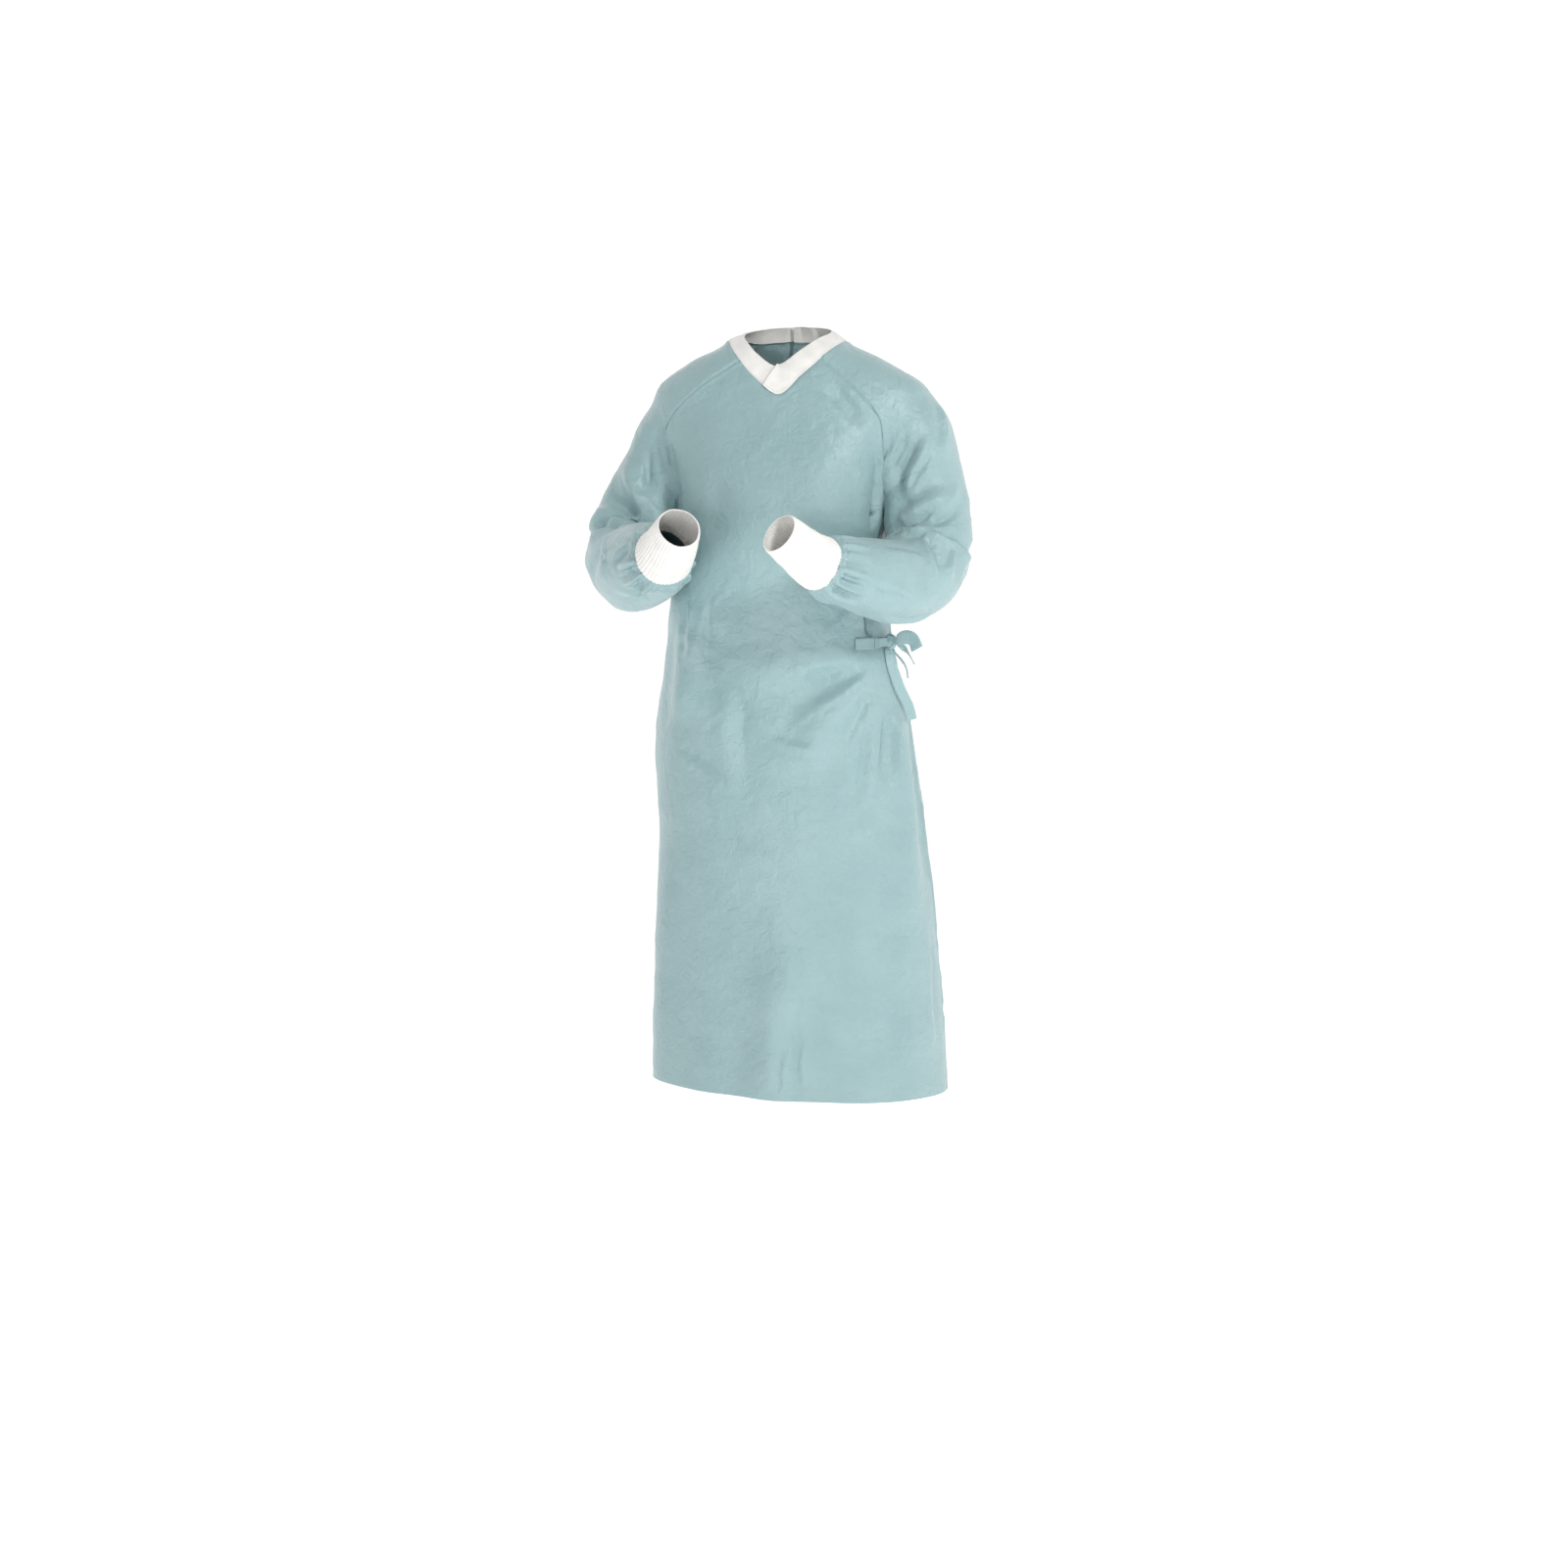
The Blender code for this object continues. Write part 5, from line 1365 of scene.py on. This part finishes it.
def add_collar(knit, seams):
    """The knit band in two halves. At the front the left one laps over the right one."""
    rise = np.linspace(0, 1, COLLAR_ROWS + 1)[:, None]
    roll = COLLAR_ROLL * sum(bell(rise - at, width) for at, width in COLLAR_ROLLS)
    for name, side, last in (
        ("collar_left", LEFT, INNER_LAP_NECK),
        ("collar_right", RIGHT, OUTER_LAP_NECK - 360),
    ):
        seam_angles, edge_angles = collar_angles(side, last)
        offset = collar_offset(side, seam_angles)
        points, outwards = collar_grid(seam_angles, edge_angles, offset)
        away = np.abs(seam_angles + COLLAR_LAP_ANGLE)
        proud = COLLAR_PROUD * bell(away, COLLAR_PROUD_REACH) * (1 if side == LEFT else COLLAR_UNDER)
        ribs = COLLAR_RIB_HEIGHT * np.cos(np.radians(seam_angles) * COLLAR_RIBS)
        soft = waviness(points, COLLAR_WAVES)
        points = points + (proud + ribs + roll + soft)[..., None] * outwards
        piece = add_shell(f"{name}_knit", points, outwards, knit, KNIT)
        carried(piece, [name])
        seams.append((points[1], outwards[1]))


def turned_with_knot(vectors):
    turn = math.radians(KNOT_TILT)
    across, forwards = math.cos(turn), math.sin(turn)
    return vectors @ np.array([(across, -forwards, 0), (forwards, across, 0), (0, 0, 1)])


def add_strap(name, middle, across, widths, material, clearance=0.0):
    """A flat strap with folded edges along a line of points, as wide as widths says. Returns
    its middle surface and the directions out of it."""
    fine = np.linspace(0, len(middle) - 1, len(middle) * STRAP_FINENESS)
    widths = np.broadcast_to(widths, len(middle))[:, None]
    table = through(numbered(np.column_stack([middle, across, widths])), fine)
    middle, across, widths = table[:, :3], table[:, 3:6], table[:, 6:]
    tangents = np.gradient(middle, axis=0)
    outwards = unit(np.cross(tangents, unit(across)))
    across = unit(np.cross(outwards, tangents))
    places = np.array(STRAP_PLACES)
    sides = middle[:, None] + (places[:, None] / 2 * widths[:, None]) * across[:, None]
    if clearance:
        sides = clear_of_body(sides, clearance)
    facing = np.repeat(outwards[:, None], len(places), axis=1)
    heights = np.array(STRAP_HEIGHTS)[None, :, None]
    soft = waviness(sides, STRAP_WAVES)[..., None]
    outer = sides + (TIE_THICKNESS / 2 * heights + soft) * facing
    piece = add_shell(f"{name}_strap", outer, facing * (1 + heights) / 2, material, TIE_THICKNESS)
    carried(piece, [name])
    flat = tuple(max(float(size), LEAST_WIDTH) for size in (widths.mean(), walk(middle)[-1]))
    return sides, facing


def sewn_down(sides, facing, seams, rows=()):
    """Stitches along both sides of a strap, and across it at these rows."""
    raised = sides + STITCH_LIFT * facing
    for column in STRAP_STITCH_COLUMNS:
        seams.append((raised[:, column], facing[:, column]))
    for row in rows:
        seams.append((raised[row, 1:-1], facing[row, 1:-1]))


def on_body(angles, height, lift):
    """Points just off the body's cloth at these angles and this height."""
    points = torso_point(np.asarray(angles, float), height)
    out = unit(slope_of(torso_distance, points))
    return points + (body_shift(points, out) + lift)[..., None] * out


def past_lap(stations, edge):
    """How far a strap has climbed onto the outer lap, whose edge is at this angle."""
    start, end = STRAP_LAP_CLIMB
    return STRAP_LAP_LIFT * ease((stations - edge + start) / (start - end))


def add_waist_straps(material, seams):
    """The stitched tab on the front and the two straps that meet at the knot."""
    up = np.array([(0.0, 0.0, 1.0)])
    lift = TIE_LIFT + TIE_THICKNESS / 2
    stations = np.linspace(*TAB_ANGLES, TAB_STATIONS)
    line = on_body(stations, WAIST_Z, lift)
    tab = add_strap("tie_tab", line, np.tile(up, (len(line), 1)), TIE_WIDTH, material)
    sewn_down(*tab, seams, TAB_STITCH_ROWS)
    reach = KNOT_SIZE[1] / 2 - KNOT_TUCK
    for name, angles, count, sign in (
        ("tie_front", FRONT_STRAP_ANGLES, FRONT_STRAP_STATIONS, -1),
        ("tie_back", BACK_STRAP_ANGLES, STRAP_STATIONS, 1),
    ):
        stations = np.linspace(*angles, count)
        lifts = lift + past_lap(stations, through(OUTER_LAP, WAIST_Z)[0])
        line = on_body(stations, WAIST_Z, lifts)
        ends = np.array([(0, sign * (reach + STRAP_RUN_IN), 0), (0, sign * reach, 0)])
        line = np.vstack([line, KNOT_CENTRE + turned_with_knot(ends)])
        widths = np.linspace(TIE_WIDTH, TIE_PINCHED, len(line))
        add_strap(name, line, np.tile(up, (len(line), 1)), widths, material)


def knot_core():
    """A rounded box with a slanting groove."""
    down = np.linspace(0, np.pi, KNOT_ROWS)[:, None]
    turn = np.linspace(0, 2 * np.pi, KNOT_COLUMNS)[None, :]
    level = np.cos(down) * np.ones_like(turn)
    ball = np.stack([np.sin(down) * np.cos(turn), np.sin(down) * np.sin(turn), level], axis=-1)
    box = np.sign(ball) * np.abs(ball) ** KNOT_SQUARENESS
    grooves = 1 - KNOT_GROOVE * bell(np.sin(down * 3 + turn), KNOT_GROOVE_WIDTH)
    return box * np.array(KNOT_SIZE) / 2 * grooves[..., None] * KNOT_CORE


def knot_turn(lean, width):
    """A turn of strap round the core, leaning over to one side."""
    turn = np.linspace(0, 2 * np.pi, KNOT_TURN_STATIONS)[:, None]
    side = np.array(STRAP_PLACES)[None, :] * width / 2
    x, z = np.cos(turn) * (KNOT_SIZE[0] / 2 + KNOT_TURN_LIFT[0]), np.sin(turn)
    z = z * (KNOT_SIZE[2] / 2 + KNOT_TURN_LIFT[1])
    ring = np.stack(np.broadcast_arrays(x, side, z), axis=-1)
    c, s = math.cos(lean), math.sin(lean)
    return ring @ np.array([(1, 0, 0), (0, c, -s), (0, s, c)])


def add_knot(material):
    """The knot: a soft core and two turns of strap drawn tight round it."""
    parts = {"tie_knot_core": knot_core()}
    for number, (lean, width) in enumerate(KNOT_TURNS, 1):
        parts[f"tie_knot_turn_{number}"] = knot_turn(lean, width)
    for name, part in parts.items():
        place = KNOT_CENTRE + turned_with_knot(part)
        piece = add_shell(name, place, unit(place - KNOT_CENTRE), material, TIE_THICKNESS)
        if name == "tie_knot_core":
            carried(piece, ["tie_knot"])
        else:
            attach(piece, "root")


def add_bow(material):
    for name, (width, rows) in BOW.items():
        steps = np.linspace(0, len(rows) - 1, 3 * len(rows) - 2)
        path = through(numbered(rows), steps)
        if name == "tie_loop_side":
            path[:, 3:] = through(numbered(LOOP_ACROSS), steps)
            width *= LOOP_WIDER
        widths = width * (BOW_START + (1 - BOW_START) * ease(steps / 2))
        middle = KNOT_CENTRE + turned_with_knot(path[:, :3])
        across = turned_with_knot(path[:, 3:])
        add_strap(name, middle, across, widths, material, clearance=BOW_CLEARANCE)


def add_neck_tab(material, seams):
    stations = np.linspace(*NECK_TAB_ANGLES, STRAP_STATIONS)
    form = yoke_form(NECK_TAB_SHARE)
    line = settle(neck_point(NECK_SEAM, stations) + NECK_TAB_DROP, form)
    out = unit(slope_of(form, line))
    lift = NECK_TAB_LIFT + TIE_THICKNESS / 2 + past_lap(stations, OUTER_LAP_NECK)
    line = line + (body_folds(line) + lift)[:, None] * out
    across = unit(np.cross(out, np.gradient(line, axis=0)))
    sewn_down(*add_strap("neck_tab", line, across, NECK_TAB_WIDTH, material), seams)


def add_stage():
    """A pale floor and soft studio light."""
    corners = ((-1, -1), (1, -1), (1, 1), (-1, 1))
    corners = [(x * FLOOR_REACH, y * FLOOR_REACH, FLOOR_Z) for x, y in corners]
    mesh = bpy.data.meshes.new("floor")
    mesh.from_pydata(corners, [], [(0, 1, 2, 3)])
    made, _, shader = principled("floor_paint", FLOOR_COLOUR, 0.9, 0)
    shader.inputs["Emission Color"].default_value = (1, 1, 1, 1)
    shader.inputs["Emission Strength"].default_value = FLOOR_GLOW
    mesh.materials.append(made)
    add_object("floor", mesh)
    add_studio_walls()
    for row in LIGHTS:
        add_lamp(*row)


def add_lamp(name, place, size, power, colour):
    light = bpy.data.lights.new(name, "AREA")
    light.shape = "RECTANGLE"
    light.size, light.size_y = size
    light.energy = power
    light.color = colour
    lamp = add_object(name, light)
    lamp.location = place
    aim(lamp, LIGHT_TARGET)


def add_studio_walls():
    """A white wall behind the gown, and dimmer ones round to the front."""
    world = bpy.data.worlds.new("studio")
    world.use_nodes = True
    tree = world.node_tree
    turn = math.radians(CAMERA_AZIMUTH)
    way = tree.nodes.new("ShaderNodeTexCoord")
    behind = tree.nodes.new("ShaderNodeVectorMath")
    behind.operation = "DOT_PRODUCT"
    behind.inputs[1].default_value = (-math.sin(turn), math.cos(turn), 0)
    level = tree.nodes.new("ShaderNodeMapRange")
    level.interpolation_type = "SMOOTHSTEP"
    level.inputs["From Min"].default_value, level.inputs["From Max"].default_value = WALL_TURN
    level.inputs["To Min"].default_value, level.inputs["To Max"].default_value = WALL_LEVELS
    tree.links.new(way.outputs["Generated"], behind.inputs[0])
    tree.links.new(behind.outputs["Value"], level.inputs["Value"])
    tree.links.new(level.outputs["Result"], tree.nodes["Background"].inputs["Strength"])
    tree.nodes["Background"].inputs["Color"].default_value = (1, 1, 1, 1)
    bpy.context.scene.world = world
    bpy.context.scene.view_settings.view_transform = "Standard"


def aim(thing, target):
    """Turns a camera or a lamp towards a place."""
    way = np.array(target) - np.array(thing.location)
    thing.rotation_euler = mathutils.Vector(way).to_track_quat("-Z", "Y").to_euler()


def add_camera():
    """At the photograph's angle and distance."""
    turn = math.radians(CAMERA_AZIMUTH)
    right = np.array((math.cos(turn), math.sin(turn), 0)) * CAMERA_SIDE
    away = np.array((CAMERA_DISTANCE * math.sin(turn), -CAMERA_DISTANCE * math.cos(turn), CAMERA_Z))
    eye = away + right
    target = np.array((0, 0, CAMERA_TARGET_Z)) + right
    data = bpy.data.cameras.new("camera")
    data.sensor_width = SENSOR
    data.lens = SENSOR * np.linalg.norm(target - eye) / METRES_PER_PIXEL / IMAGE_PIXELS
    camera = add_object("camera", data)
    camera.location = eye
    aim(camera, target)
    bpy.context.scene.camera = camera


def main():
    add_camera()
    add_stage()
    cloth = cloth_material("gown_cloth_look", CLOTH_DARK, CLOTH_LIGHT)
    tie = cloth_material("tie_cloth_look", TIE_DARK, TIE_LIGHT)
    knit = knit_material("knit_look")
    thread = thread_material("thread", THREAD_COLOUR)
    seams = []
    add_body(cloth, seams)
    add_sleeves(cloth, seams)
    add_cuffs(knit)
    add_collar(knit, seams)
    add_waist_straps(tie, seams)
    add_knot(tie)
    add_bow(tie)
    add_neck_tab(tie, seams)
    add_stitches(seams, thread)


main()
